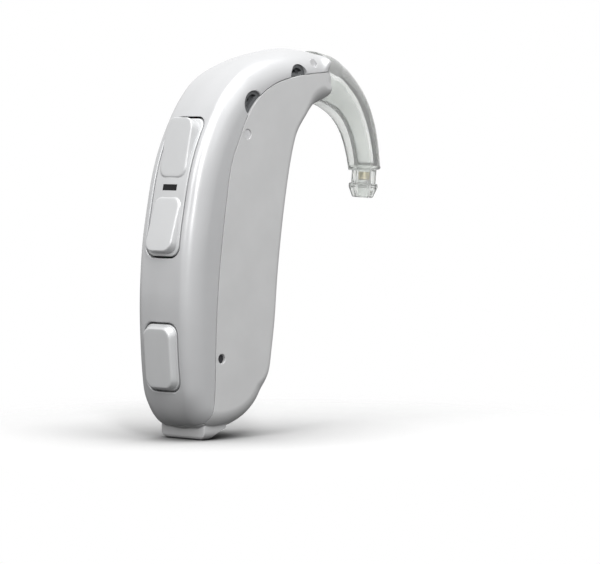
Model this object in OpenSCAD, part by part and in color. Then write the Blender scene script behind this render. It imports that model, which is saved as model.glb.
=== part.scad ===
// Behind the ear hearing aid
// Frame: +Y towards the ear hook, -Y the spine with the buttons, +Z up, X across the case.
// Sizes are in millimetres. The origin is centred under the whole aid, level with the nail grip.

/* [Case] */
// Width of the case across its two flat sides
case_w = 8.6; // [8.4:0.1:9.2]
// Height of the case from its foot to its crown
case_h = 41.85; // [41:0.05:44]
// Depth from the spine to the concave side, at the drawer hinge
case_depth = 14.6; // [14.4:0.1:15.4]
// How far the hook end reaches forward of the concave side
case_overhang = 10.15; // [9.8:0.05:11]
// Wall of both shells
shell_wall = 0.8; // [0.7:0.05:0.85]
// Rounding of the spine corner, measured into the depth
spine_edge_in = 2.8; // [2.4:0.1:3]
// Rounding of the spine corner, measured across the case
spine_edge_across = 1.6; // [1.4:0.1:2]
// Rounding of the corner on the concave side
front_edge = 1.2; // [1:0.1:1.4]
// Rounding of the case around its foot
foot_edge = 2.3; // [2:0.1:2.5]
// Rounding of the hook end, measured across the case
end_edge_across = 3.6; // [3.2:0.1:3.9]
// Crowning of the spine between its two corners
spine_crown = 0.12; // [0.05:0.01:0.2]
// Gap between the two shells along the parting line
parting_gap = 0.06; // [0.04:0.01:0.12]

/* [Ear hook] */
// Height of the hook where it leaves the case
hook_root_h = 5.5; // [5.2:0.1:5.6]
// Width of the hook where it leaves the case
hook_root_w = 7.6; // [7:0.1:7.7]
// Thickness of the hook at its tip
hook_tip_d = 3.6; // [3.4:0.1:4]
// From the end of the case forward to the centre of the tip
hook_reach = 8.75; // [8:0.25:10]
// From the root of the hook down to the tip
hook_drop = 10.65; // [9.65:0.25:12.15]
// Diameter of the nozzle neck
neck_d = 2.86; // [2.6:0.02:3]
// Length of the nozzle neck
neck_l = 1.75; // [1.5:0.05:2.2]
// Largest diameter of the tube barb
barb_d = 3.4; // [3.2:0.05:3.5]
// Diameter of the barb at its open end
barb_end_d = 2.4; // [2.2:0.05:2.6]
// Straight land on the barb
barb_land = 0.4; // [0.3:0.05:0.5]
// Length of the barb's cone
barb_cone_l = 1.15; // [1:0.05:1.4]
// Lean of the nozzle towards the case, in degrees
nozzle_lean = 6; // [4:1:8]
// Sound bore through the nozzle
bore_d = 1.3; // [1.1:0.05:1.5]

/* [Buttons] */
// Width of the rocker's base
rocker_w = 4.8; // [4.6:0.1:5]
// Length of the rocker along the spine
rocker_l = 15; // [14.5:0.1:15.5]
// Width of the two rocker pads
rocker_pad_w = 3.8; // [3.4:0.1:4]
// How far the upper pad stands proud at its outer end
rocker_rise = 1.35; // [1:0.05:1.5]
// How far the lower pad stands proud at its outer end
rocker_low_rise = 0.9; // [0.6:0.05:1]
// Width of the valley between the two pads
rocker_valley = 1.7; // [1.5:0.1:2]
// Tilt of the rocker to either side, in degrees
rocker_tilt = 2.5; // [1:0.5:3]
// Width of the push button's base
button_w = 4.8; // [4.6:0.1:5]
// Length of the push button's base
button_l = 7.3; // [7:0.1:7.6]
// Margin from the push button's base to its face
button_step = 0.45; // [0.3:0.05:0.6]
// How far the push button stands proud
button_rise = 0.7; // [0.5:0.05:1]
// Travel of the push button
button_travel = 0.3; // [0.2:0.05:0.35]
// Gap around both buttons
button_gap = 0.14; // [0.12:0.01:0.18]
// Width of the status window
window_w = 2.07; // [1.8:0.01:2.3]
// Height of the status window
window_h = 0.65; // [0.5:0.01:0.7]

/* [Battery] */
// Diameter of the size 13 cell
cell_d = 7.9; // [7.7:0.05:7.95]
// Height of the size 13 cell
cell_h = 5.4; // [5.2:0.05:5.45]
// Skin of the battery drawer
drawer_skin = 1; // [0.8:0.05:1.05]
// Side play between the drawer and the cheeks
drawer_play = 0.15; // [0.1:0.01:0.2]
// Width of the nail grip under the case
grip_w = 6.6; // [6:0.1:6.7]
// How far the nail grip hangs below the case
grip_drop = 0.95; // [0.8:0.05:1.1]
// Radius of the drawer's hinge knuckle
knuckle_r = 1.3; // [1.2:0.05:1.35]
// Diameter of the drawer's hinge pin
hinge_pin_d = 0.8; // [0.7:0.05:0.9]

/* [Sound parts] */
// Length of the receiver
receiver_l = 7.9; // [7.5:0.1:8.2]
// Width of the receiver
receiver_w = 5.2; // [4.8:0.1:5.3]
// Thickness of the receiver
receiver_t = 4; // [3.6:0.1:4.1]
// Rubber around the receiver
boot_wall = 0.4; // [0.35:0.05:0.45]
// Outer diameter of the receiver's sound tube
tube_od = 1.7; // [1.6:0.05:1.8]
// Bore of the receiver's sound tube
tube_id = 1; // [0.9:0.05:1.1]
// Side of the square microphones
mic_side = 3; // [2.8:0.1:3.1]
// Thickness of the microphones
mic_t = 0.9; // [0.8:0.05:0.95]
// Radius of the rear microphone port
rear_port_r = 1.45; // [1.3:0.05:1.5]
// Radius of the front microphone port
front_port_r = 1.3; // [1.2:0.05:1.35]
// Wall of the port liners
liner_wall = 0.4; // [0.3:0.05:0.45]

/* [Pins and frame] */
// Diameter of the case pins
pin_d = 1; // [0.9:0.05:1.05]
// How far the pin ends sit below the case's sides
pin_sink = 0.1; // [0.05:0.05:0.2]
// Width of the frame inside the case
frame_w = 6.4; // [6.2:0.1:6.5]
// Thickness of the circuit board
board_t = 0.5; // [0.4:0.05:0.55]
// Width of the circuit board
board_w = 5.4; // [5:0.1:5.6]

/* [Hidden] */
$fn = 48;

// Clearance of a pin in a hole, and of a seat round what it holds
fit_gap = 0.02;
// Clearance of a shaft that turns in its bore
run_gap = 0.03;
// Clearance between loosely seated pieces
seat_gap = 0.08;
// How far a cut runs past the solid that it cuts
overrun = 2;
// Smallest rounding left on an inset edge
edge_min = 0.3;
// Points between two rows of an outline, and steps of a rounded edge
outline_steps = 3;
outer_edge_steps = 5;
inner_edge_steps = 4;

// Shares of the case: reach 0 is the spine, 1 the concave side and 2 the hook end,
// height 0 is the foot and 1 the crown
function reach(s) = s <= 1 ? s * case_depth : case_depth + (s - 1) * case_overhang;
function height(s) = grip_drop + s * case_h;
function place(s) = [reach(s[0]), height(s[1])];

// Rounding of the case edge at each part of its outline: into the depth, and across
spine = [spine_edge_in, spine_edge_across];
crown = [spine_edge_in, (spine_edge_across + end_edge_across) / 2];
hook_end = [foot_edge, end_edge_across];
crown_end = [spine_edge_in, end_edge_across];
foot = [foot_edge, foot_edge];
front = [front_edge, front_edge];

// Side outline of the case, in shares: over the crown, down the spine and round the foot
spine_rows = [
    [[1.832, 0.988], hook_end], [[1.532, 1.000], crown_end], [[1.138, 0.992], crown_end],
    [[0.822, 0.964], crown], [[0.589, 0.920], spine], [[0.411, 0.859], spine],
    [[0.288, 0.793], spine], [[0.195, 0.728], spine], [[0.127, 0.658], spine],
    [[0.075, 0.577], spine], [[0.034, 0.498], spine], [[0.010, 0.412], spine],
    [[0.000, 0.324], spine], [[0.007, 0.235], spine], [[0.024, 0.154], spine],
    [[0.055, 0.090], spine], [[0.120, 0.039], foot], [[0.219, 0.008], foot],
    [[0.356, 0.000], foot]
];
// Then up the concave side and round the hook end
front_rows = [
    [[0.521, 0.006], foot], [[0.678, 0.026], foot], [[0.795, 0.056], foot],
    [[0.877, 0.094], foot], [[0.921, 0.142], front], [[0.959, 0.207], front],
    [[0.993, 0.288], front], [[1.030, 0.391], front], [[1.084, 0.491], front],
    [[1.158, 0.599], front], [[1.246, 0.699], front], [[1.340, 0.768], front],
    [[1.473, 0.811], front], [[1.660, 0.840], foot], [[1.830, 0.850], hook_end],
    [[1.940, 0.868], hook_end], [[1.990, 0.896], hook_end], [[1.990, 0.930], hook_end],
    [[1.930, 0.966], hook_end]
];
// Parting line of the two shells, from beyond the hook end to below the foot
parting_shares = [
    [2.30, 0.948], [1.76, 0.936], [1.33, 0.926], [0.98, 0.907], [0.788, 0.872],
    [0.651, 0.821], [0.548, 0.754], [0.466, 0.689], [0.411, 0.589], [0.370, 0.498],
    [0.336, 0.407], [0.308, 0.288], [0.298, 0.204], [0.288, 0.097], [0.264, 0.049],
    [0.212, 0.022], [0.100, -0.010]
];

// Smooth curves through rows of numbers
function through(a, b, c, d, t) =
    (2 * b + (c - a) * t + (2 * a - 5 * b + 4 * c - d) * t * t
    + (3 * b - a - 3 * c + d) * t * t * t) / 2;
function wrap(i, n) = (i + n) % n;
function hold(i, n) = max(0, min(i, n - 1));
function smooth_loop(rows, steps) = let (n = len(rows)) [
    for (i = [0:n - 1], k = [0:steps - 1])
        through(rows[wrap(i - 1, n)], rows[i], rows[wrap(i + 1, n)], rows[wrap(i + 2, n)], k / steps)
];
function smooth_line(rows, steps) = let (n = len(rows)) [
    for (i = [0:n - 2], k = [0:steps - (i == n - 2 ? 0 : 1)])
        through(rows[hold(i - 1, n)], rows[i], rows[hold(i + 1, n)], rows[hold(i + 2, n)], k / steps)
];
function unit(v) = v / norm(v);
function left_of(v) = [-v[1], v[0]];
function line_side(pts, i) =
    left_of(unit(pts[hold(i + 1, len(pts))] - pts[hold(i - 1, len(pts))]));
function line_beside(pts, gap) = [for (i = [0:len(pts) - 1]) pts[i] + gap * line_side(pts, i)];

// The case outline as [y, z, edge in, edge across] and its inward normals
outline = smooth_loop(
    [for (r = concat(spine_rows, front_rows)) concat(place(r[0]), r[1])], outline_steps);
outline_n = len(outline);
outline_yz = [for (p = outline) [p[0], p[1]]];
outline_in = [
    for (i = [0:outline_n - 1])
        left_of(unit(outline_yz[wrap(i + 1, outline_n)] - outline_yz[wrap(i - 1, outline_n)]))
];
function outline_inset(gap) = [for (i = [0:outline_n - 1]) outline_yz[i] + gap * outline_in[i]];

// Rounded edge as [x, inset], from beyond one flat side over the middle to the other
function edge_point(half, edge_in, edge_across, a) =
    [half - edge_across * (1 - cos(a)), spine_crown + (edge_in - spine_crown) * (1 - sin(a))];
function edge_half(half, edge_in, edge_across, steps) = concat(
    [[half + overrun, edge_in], [half, edge_in]],
    [for (j = [1:steps]) edge_point(half, edge_in, edge_across, 90 * j / steps)]);
function edge_ring(half, edge_in, edge_across, steps) =
    let (side = edge_half(half, edge_in, edge_across, steps)) concat(
        side, [[0, 0]], [for (j = [len(side) - 1:-1:0]) [-side[j][0], side[j][1]]]);

// Closed body of the case, inset evenly from its outer surface, its sides cut flat
module case_body(inset, steps) {
    intersection() {
        case_skin(inset, steps);
        block([reach(1), height(0.5)], [case_w - 2 * inset, 2 * case_h, 2 * case_h]);
    }
}
module case_skin(inset, steps) {
    n = outline_n;
    rings = [
        for (p = outline)
            edge_ring(case_w / 2 - inset, max(p[2] - inset, edge_min), max(p[3] - inset, edge_min), steps)
    ];
    k = len(rings[0]);
    points = [
        for (i = [0:n - 1], e = rings[i])
            let (q = outline_yz[i] + (inset + e[1]) * outline_in[i]) [e[0], q[0], q[1]]
    ];
    function at(i, j) = wrap(i, n) * k + j;
    skin = [
        for (i = [0:n - 1], j = [0:k - 2], half = [0, 1])
            half == 0 ? [at(i, j), at(i + 1, j), at(i + 1, j + 1)]
            : [at(i, j), at(i + 1, j + 1), at(i, j + 1)]
    ];
    sides = [
        for (i = [0:n / 2 - 2], far = [0, 1])
            far == 0 ? [at(n - 1 - i, 0), at(n - 2 - i, 0), at(i + 1, 0), at(i, 0)]
            : [at(i, k - 1), at(i + 1, k - 1), at(n - 2 - i, k - 1), at(n - 1 - i, k - 1)]
    ];
    polyhedron(points = points, faces = concat(skin, sides), convexity = 6);
}

// Helpers: shapes drawn in the side view, rods across the case, and blocks
module across(width) {
    rotate([90, 0, 90]) linear_extrude(height = width, center = true) children();
}
module rod(p, r, width) {
    translate([0, p[0], p[1]]) rotate([0, 90, 0]) cylinder(h = width, r = r, center = true);
}
module both_sides() {
    children();
    mirror([1, 0, 0]) children();
}
// A block of size [x, y, z] centred at a place in the side view and turned about X
module block(p, size, turn = 0) {
    translate([0, p[0], p[1]]) rotate([turn, 0, 0]) cube(size, center = true);
}
// Rounded oblong, drawn about its centre
oblong_steps = 6;
module oblong(w, l, r) {
    polygon([
        for (q = [0:3], k = [0:oblong_steps])
            let (a = 90 * (q + k / oblong_steps), sx = q == 0 || q == 3 ? 1 : -1, sy = q < 2 ? 1 : -1)
                [sx * (w / 2 - r) + r * cos(a), sy * (l / 2 - r) + r * sin(a)]
    ]);
}
// A shape drawn in the back view, run forward from the spine
module from_back(z, depth) {
    translate([0, depth, z]) rotate([90, 0, 0]) linear_extrude(height = depth + overrun) children();
}

// Places on the spine: the surface at a height, and a point set in from it
spine_table = [
    for (i = [2 * outline_steps:16 * outline_steps]) [outline[i][1], outline[i][0]]
];
probe = case_h / 100;
function spine_y(z) = lookup(z, spine_table);
function spine_turn(z) = atan((spine_y(z + probe) - spine_y(z - probe)) / (2 * probe));
function spine_in(z, d) = [spine_y(z) + d * cos(spine_turn(z)), z - d * sin(spine_turn(z))];
spine_steps = 10;
function spine_run(z0, z1, d0, d1) = [
    for (k = [0:spine_steps]) let (t = k / spine_steps)
        spine_in(z0 + t * (z1 - z0), d0 + t * (d1 - d0))
];

// Parting line, and the area on the spine side of it
parting = smooth_line([for (s = parting_shares) place(s)], outline_steps);
module spine_side(gap = 0) {
    edge = line_beside(parting, gap);
    polygon(concat(edge, [
        [-overrun, height(0) - overrun], [-overrun, height(1) + overrun],
        [edge[0][0], height(1) + overrun]
    ]));
}

// Heights on the spine: rocker, its pads and pivot, and the push button
rocker_mid = height(0.634);
rocker_low = rocker_mid - rocker_l / 2;
rocker_top = rocker_mid + rocker_l / 2;
rocker_corner = rocker_w / 4;
rocker_plate = 1;
pad_rise_low = 0.05;
pad_margin = (rocker_w - rocker_pad_w) / 4;
button_mid = height(0.195);
button_low = button_mid - button_l / 2;
button_top = button_mid + button_l / 2;
button_corner = button_w / 4;
button_foot_w = button_w - pad_margin / 2;
button_face_w = button_w - 2 * button_step;
flange_t = 0.45;
flange_w = 0.3;

// Depths below the spine's surface of the switches, their plungers and the board
board_in = 3;
switch_t = 0.85;
switch_side = 2.4;
plunger_r = 0.55;
plunger_l = 0.7;
plunger_grip = 0.35;
nub_r = 0.45;
nub_gap = 0.07;
plunger_in = board_in - switch_t + plunger_grip - plunger_l;
switch_share = 0.37;
switch_heights = [rocker_mid - rocker_l * switch_share, rocker_mid + rocker_l * switch_share];
pivot_in = 2;
pivot_pin_d = 0.7;
pivot_ear_r = 0.75;
pivot_ear_w = 0.6;
pivot_ear_x = 1.3;
pivot_at = spine_in(rocker_mid, pivot_in);
window_t = 1.1;
led_size = [1.4, 0.5, 0.9];

// Side view places of pins, ports and inner pieces
hook_pin_at = place([1.571, 0.959]);
upper_pin_at = place([0.646, 0.771]);
lower_pin_at = place([0.362, 0.189]);
rear_port_at = place([0.714, 0.850]);
front_port_at = place([1.310, 0.925]);
rear_duct_at = place([0.681, 0.861]);
front_duct_at = place([1.305, 0.9355]);
rear_duct_turn = 30;
front_duct_turn = 6;
duct_r = 0.25;
cell_at = place([0.548, 0.152]);
hinge_at = [reach(1) - knuckle_r, height(0.338)];
receiver_at = place([0.745, 0.497]);
receiver_turn = -6;
telecoil_at = place([1.01, 0.701]);
telecoil_turn = -12;
telecoil_size = [2.2, 2.2, 7.4];
wireless_at = place([0.61, 0.67]);
wireless_d = 2.2;
wireless_l = 5;
processor_size = [4.4, 0.9, 5];
processor_mid = height(0.455);
board_low = height(0.115);
board_top = height(0.81);
frame_low = height(0.272);
lower_pin_l = 1;
arm_t = 0.35;
arm_w = 2;
arm_low = height(0.155);
contact_t = 0.15;
contact_w = 1.4;
drawer_w = case_w - 2 * shell_wall - 2 * drawer_play;
cradle_wall = 0.5;
cradle_w = cell_h - 0.6;
lead_d = 0.28;

// Hook: side view path and size from root to tip, in shares
root_at = [reach(1.83), height(0.929)];
tip_at = [reach(2) + hook_reach, root_at[1] - hook_drop];
hook_shares = [
    [0.000, 0.000, 0.00], [0.170, 0.026, 0.00], [0.313, 0.073, 0.13], [0.427, 0.120, 0.28],
    [0.550, 0.190, 0.44], [0.666, 0.275, 0.58], [0.766, 0.378, 0.70], [0.852, 0.505, 0.81],
    [0.919, 0.655, 0.89], [0.971, 0.838, 0.96], [1.000, 1.000, 1.00]
];
// The hook narrows across faster than it does in its height
narrowing = 0.75;
hook_rows = [
    for (s = hook_shares) [
        root_at[0] + s[0] * (tip_at[0] - root_at[0]),
        root_at[1] - s[1] * (root_at[1] - tip_at[1]),
        hook_root_w + pow(s[2], narrowing) * (hook_tip_d - hook_root_w),
        hook_root_h + s[2] * (hook_tip_d - hook_root_h)
    ]
];
hook_line = smooth_line(hook_rows, outline_steps);
hook_path = [for (p = hook_line) [p[0], p[1]]];
hook_sides = 24;
root_square = 2.5;
tip_square = 2.2;
root_turn = atan2(hook_path[0][1] - hook_path[1][1], hook_path[1][0] - hook_path[0][0]);
tongue_l = 3.6;
tongue_w = 5.6;
tongue_h = 3.8;
tongue_at = [root_at[0] - tongue_l, height(0.915)];
spigot_d = 2;
spigot_grip = 2.6;
spigot_tail = 1.8;
nipple_l = 0.8;
nipple_d = tube_id * 0.86;
spigot_at = [tongue_at[0], height(0.902)];
curved_bore_d = bore_d + 0.2;
bore_sides = 12;
gasket_d = 0.45;

// The whole aid is centred between the push button's face and the front of the hook
button_face_top = spine_in(button_top, -button_rise)
    + (button_foot_w - button_face_w) / 2
    * unit(spine_in(button_low, -button_rise) - spine_in(button_top, -button_rise));
hook_front = max([
    for (i = [0:len(hook_line) - 1]) hook_line[i][0] + hook_line[i][3] / 2 * line_side(hook_path, i)[0]
]);
origin_y = (button_face_top[0] + hook_front) / 2;

// Sound path inside the case: from the receiver's outlet to the spigot
function turned(v, a) = [v[0] * cos(a) - v[1] * sin(a), v[0] * sin(a) + v[1] * cos(a)];
outlet_at = receiver_at + turned([0, receiver_l / 2], receiver_turn);
nipple_at = [spigot_at[0] - spigot_tail, spigot_at[1]];
tube_gap = 0.1;
tube_shares = [
    [0.015, 0.07], [0.07, 0.25], [0.18, 0.48], [0.36, 0.72], [0.57, 0.90], [0.78, 0.985], [0.90, 1.00]
];
tube_rows = concat(
    [outlet_at + turned([0, tube_gap], receiver_turn)],
    [for (s = tube_shares) [
        outlet_at[0] + s[0] * (nipple_at[0] - outlet_at[0]),
        outlet_at[1] + s[1] * (nipple_at[1] - outlet_at[1])
    ]],
    [nipple_at - [tube_gap, 0]]);
tube_line = smooth_line(tube_rows, outline_steps);

// Section of the hook: a squared oval, drawn about its centre
function signed_power(v, e) = (v < 0 ? -1 : 1) * pow(abs(v), e);
function squared_oval(w, h, square) = [
    for (k = [0:hook_sides - 1]) let (a = 360 * k / hook_sides)
        [w / 2 * signed_power(cos(a), 2 / square), h / 2 * signed_power(sin(a), 2 / square)]
];
// A solid swept along a side view path, one section of [x, up] points for each of its rows
module swept(path, sections) {
    k = len(sections[0]);
    points = [
        for (i = [0:len(path) - 1]) let (up = line_side(path, i))
            for (s = sections[i]) [s[0], path[i][0] + s[1] * up[0], path[i][1] + s[1] * up[1]]
    ];
    last = (len(path) - 1) * k;
    skin = [
        for (i = [0:len(path) - 2], j = [0:k - 1], half = [0, 1])
            let (a = i * k + j, b = i * k + (j + 1) % k)
                half == 0 ? [a, b, b + k] : [a, b + k, a + k]
    ];
    ends = [[for (j = [k - 1:-1:0]) j], [for (j = [0:k - 1]) last + j]];
    polyhedron(points = points, faces = concat(skin, ends), convexity = 6);
}
function round_section(r, sides) = [
    for (k = [0:sides - 1]) let (a = 360 * k / sides) [r * cos(a), r * sin(a)]
];
module swept_rod(path, r, sides) {
    swept(path, [for (p = path) round_section(r, sides)]);
}
module swept_tube(path, r, bore_r, sides) {
    ring = concat(round_section(r, sides), round_section(bore_r, sides));
    k = 2 * sides;
    last = len(path) - 1;
    points = [
        for (i = [0:last]) let (up = line_side(path, i))
            for (s = ring) [s[0], path[i][0] + s[1] * up[0], path[i][1] + s[1] * up[1]]
    ];
    function rim(i, j) = i * k + j % sides;
    function bore(i, j) = i * k + sides + j % sides;
    skin = [
        for (i = [0:last - 1], j = [0:sides - 1], part = [0:3])
            part == 0 ? [rim(i, j), rim(i, j + 1), rim(i + 1, j + 1)]
            : part == 1 ? [rim(i, j), rim(i + 1, j + 1), rim(i + 1, j)]
            : part == 2 ? [bore(i, j), bore(i + 1, j + 1), bore(i, j + 1)]
            : [bore(i, j), bore(i + 1, j), bore(i + 1, j + 1)]
    ];
    ends = [
        for (j = [0:sides - 1], far = [0, 1])
            far == 0 ? [rim(0, j + 1), rim(0, j), bore(0, j), bore(0, j + 1)]
            : [rim(last, j), rim(last, j + 1), bore(last, j + 1), bore(last, j)]
    ];
    polyhedron(points = points, faces = concat(skin, ends), convexity = 6);
}

// Frames of reference: down the nozzle, into the spine, and along the spigot
module at_tip(down = 0) {
    translate([0, tip_at[0], tip_at[1]]) rotate([180 - nozzle_lean, 0, 0])
        translate([0, 0, down]) children();
}
module at_spine(z, d) {
    p = spine_in(z, d);
    translate([0, p[0], p[1]]) rotate([-90 - spine_turn(z), 0, 0]) children();
}
module along_y(p) {
    translate([0, p[0], p[1]]) rotate([-90, 0, 0]) children();
}
// A strip that follows the spine between two depths
module spine_strip(z0, z1, d0, d1) {
    inner = spine_run(z0, z1, d1, d1);
    outer = spine_run(z0, z1, d0, d0);
    polygon(concat(outer, [for (k = [spine_steps:-1:0]) inner[k]]));
}

// Seat of the hook's root in the case
module root_seat(gap) {
    translate([0, root_at[0], root_at[1]]) rotate([-90 - root_turn, 0, 0])
        translate([0, 0, -2 * gap]) linear_extrude(height = hook_reach)
            polygon(squared_oval(hook_root_w + 2 * gap, hook_root_h + 2 * gap, root_square));
}

// Shells
module outer_shell() {
    color([0.86, 0.87, 0.88]) difference() {
        intersection() {
            case_body(0, outer_edge_steps);
            across(case_w + overrun) spine_side();
        }
        case_body(shell_wall, inner_edge_steps);
        block([root_at[0] + overrun, height(1)], [case_w + overrun, 2 * overrun, hook_root_h]);
        from_back(rocker_mid, reach(0.5))
            oblong(rocker_w + 2 * button_gap, rocker_l + 2 * button_gap, rocker_corner + button_gap);
        from_back(button_mid, shell_wall * 2)
            oblong(button_w + 2 * button_gap, button_l + 2 * button_gap, button_corner + button_gap);
        rod(rear_port_at, rear_port_r, case_w + overrun);
        rod(front_port_at, front_port_r, case_w + overrun);
        rod(hook_pin_at, pin_d / 2 + fit_gap, case_w + overrun);
        root_seat(fit_gap);
    }
}
module inner_shell() {
    slot_w = drawer_w + 2 * drawer_play;
    color([0.68, 0.69, 0.70]) difference() {
        difference() {
            case_body(0, outer_edge_steps);
            across(case_w + overrun) spine_side(parting_gap);
        }
        case_body(shell_wall, inner_edge_steps);
        block([reach(0.5), (hinge_at[1] + height(0)) / 2 - overrun],
            [slot_w, reach(1.5), hinge_at[1] - height(0) + 2 * overrun]);
        rod(hinge_at, knuckle_r + drawer_play, slot_w);
        block(hinge_at + (knuckle_r + drawer_play) / 2 * [2, 1],
            [slot_w, 2 * (knuckle_r + drawer_play), knuckle_r + drawer_play]);
        rod(hinge_at, hinge_pin_d / 2 + fit_gap, slot_w + shell_wall);
        rod(upper_pin_at, pin_d / 2 + fit_gap, case_w + overrun);
        rod(lower_pin_at, pin_d / 2 + fit_gap, case_w + overrun);
        root_seat(fit_gap);
    }
}

// Ear hook
module ear_hook() {
    sections = [
        for (i = [0:len(hook_line) - 1]) let (t = i / (len(hook_line) - 1))
            squared_oval(hook_line[i][2], hook_line[i][3], root_square + t * (tip_square - root_square))
    ];
    bore_path = smooth_line(concat(
        [[spigot_at[0] + spigot_grip - tube_gap, spigot_at[1]],
            [root_at[0] + tongue_l / 4, (spigot_at[1] + root_at[1]) / 2]],
        [for (i = [2:len(hook_rows) - 1]) [hook_rows[i][0], hook_rows[i][1]]]), 2);
    color([0.90, 0.93, 0.90]) difference() {
        union() {
            swept(hook_path, sections);
            along_y(tongue_at) linear_extrude(height = tongue_l + shell_wall)
                polygon(squared_oval(tongue_w, tongue_h, root_square));
            at_tip(-neck_d / 4) cylinder(h = neck_l + neck_d / 4, d = neck_d);
            at_tip(neck_l) cylinder(h = barb_land, d = barb_d);
            at_tip(neck_l + barb_land) cylinder(h = barb_cone_l, d1 = barb_d, d2 = barb_end_d);
        }
        swept_rod(bore_path, curved_bore_d / 2, bore_sides);
        at_tip(-neck_d / 2) cylinder(h = neck_d / 2 + neck_l + barb_land + barb_cone_l + overrun, d = bore_d);
        along_y(spigot_at - [overrun, 0])
            cylinder(h = overrun + spigot_grip, d = spigot_d + 2 * fit_gap);
        rod(hook_pin_at, pin_d / 2 + fit_gap, case_w);
    }
}
module hook_damper() {
    color([0.85, 0.75, 0.35]) at_tip(barb_land) difference() {
        cylinder(h = neck_l / 2, d = bore_d - 2 * fit_gap);
        translate([0, 0, -overrun]) cylinder(h = 2 * overrun, d = bore_d / 2);
    }
}
module sound_spigot() {
    color([0.75, 0.76, 0.78]) along_y(spigot_at) difference() {
        union() {
            translate([0, 0, -spigot_tail]) cylinder(h = spigot_tail + spigot_grip - seat_gap, d = spigot_d);
            translate([0, 0, -spigot_tail - nipple_l])
                cylinder(h = nipple_l + fit_gap, d = nipple_d);
        }
        translate([0, 0, -spigot_tail - overrun])
            cylinder(h = spigot_tail + spigot_grip + 2 * overrun, d = tube_id / 2);
    }
}
module hook_gasket() {
    color([0.2, 0.2, 0.2]) along_y(spigot_at - [gasket_d / 2 + fit_gap, 0])
        rotate_extrude() translate([(spigot_d + gasket_d) / 2 + fit_gap, 0]) circle(d = gasket_d);
}

// Pins of the case
module hook_pin() {
    color([0.8, 0.8, 0.82]) rod(hook_pin_at, pin_d / 2, case_w * 0.9);
}
module upper_housing_pin() {
    color([0.8, 0.8, 0.82]) rod(upper_pin_at, pin_d / 2, case_w - 2 * pin_sink);
}
module lower_housing_pins() {
    color([0.35, 0.35, 0.37]) both_sides()
        translate([case_w / 2 - 3 * pin_sink - lower_pin_l / 2, 0, 0])
            rod(lower_pin_at, pin_d / 2, lower_pin_l);
}

// Buttons: a flat plate from one place to another in the side view, its face outwards
module face_plate(p, q, w, margin, r) {
    lean = atan2(q[0] - p[0], q[1] - p[1]);
    mid = (p + q) / 2;
    translate([0, mid[0], mid[1]]) rotate([90 - lean, 0, 0])
        translate([0, 0, -probe / 8]) linear_extrude(height = probe / 8)
            oblong(w, norm(q - p) - 2 * margin, r);
}
module pad(z0, z1, rise0, rise1, foot_w, face_w, r) {
    step = (foot_w - face_w) / 2;
    hull() {
        face_plate(spine_in(z0, pad_margin), spine_in(z1, pad_margin), foot_w, 0, r);
        face_plate(spine_in(z0, -rise0), spine_in(z1, -rise1), face_w, step, r - step / 2);
    }
}
module rocker_button() {
    foot_w = rocker_w - 2 * pad_margin;
    color([0.80, 0.81, 0.82]) difference() {
        union() {
            intersection() {
                across(rocker_w) spine_strip(rocker_low, rocker_top, 0, rocker_plate);
                from_back(rocker_mid, reach(0.5)) oblong(rocker_w, rocker_l, rocker_corner);
            }
            pad(rocker_mid + rocker_valley / 2, rocker_top - pad_margin,
                pad_rise_low, rocker_rise, foot_w, rocker_pad_w, rocker_corner);
            pad(rocker_low + pad_margin, rocker_mid - rocker_valley / 2,
                rocker_low_rise, pad_rise_low, foot_w, rocker_pad_w, rocker_corner);
            for (z = switch_heights) {
                at_spine(z, rocker_plate / 2)
                    cylinder(h = plunger_in - nub_gap - rocker_plate / 2, r = nub_r);
            }
            both_sides() translate([pivot_ear_x, 0, 0]) {
                rod(pivot_at, pivot_ear_r, pivot_ear_w);
                across(pivot_ear_w) spine_strip(
                    rocker_mid - pivot_ear_r, rocker_mid + pivot_ear_r, rocker_plate / 2, pivot_in);
            }
        }
        rod(pivot_at, pivot_pin_d / 2 + run_gap, case_w);
        at_spine(rocker_mid, -overrun) translate([0, 0, window_t / 2 + overrun])
            cube([window_w + 2 * fit_gap, window_h + 2 * fit_gap, window_t + 2 * overrun], center = true);
    }
}
module status_window() {
    color([0.06, 0.06, 0.07]) at_spine(rocker_mid, pin_sink / 2) translate([0, 0, window_t / 2])
        cube([window_w, window_h, window_t], center = true);
}
module rocker_pivot_pin() {
    color([0.8, 0.8, 0.82]) rod(pivot_at, pivot_pin_d / 2, board_w + 2 * pivot_ear_w - fit_gap);
}
module plunger(z) {
    color([0.2, 0.2, 0.22]) at_spine(z, plunger_in) cylinder(h = plunger_l, r = plunger_r);
}
module switch_body(z) {
    color([0.15, 0.15, 0.16]) at_spine(z, board_in - switch_t) difference() {
        translate([0, 0, switch_t / 2]) cube([switch_side, switch_side, switch_t], center = true);
        translate([0, 0, -overrun])
            cylinder(h = overrun + switch_t - contact_t, r = plunger_r + run_gap);
    }
}
module lower_switch_plunger() {
    plunger(switch_heights[0]);
}
module upper_switch_plunger() {
    plunger(switch_heights[1]);
}
module program_plunger() {
    plunger(button_mid);
}
module rocker_switches() {
    for (z = switch_heights) {
        switch_body(z);
    }
}
module program_switch() {
    switch_body(button_mid);
}
module push_button() {
    flange_in = shell_wall + seat_gap + spine_crown;
    color([0.76, 0.77, 0.78]) {
        intersection() {
            across(button_w) spine_strip(button_low, button_top, 0, flange_in + flange_t);
            from_back(button_mid, reach(0.5)) oblong(button_w, button_l, button_corner);
        }
        intersection() {
            across(case_w)
                spine_strip(button_low - flange_w, button_top + flange_w, flange_in, flange_in + flange_t);
            from_back(button_mid, reach(0.5))
                oblong(button_w + 2 * flange_w, button_l + 2 * flange_w, button_corner + flange_w);
        }
        pad(button_low, button_top, button_rise, button_rise, button_foot_w, button_face_w, button_corner);
        at_spine(button_mid, flange_in) cylinder(h = plunger_in - flange_in, r = nub_r);
    }
}

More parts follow.
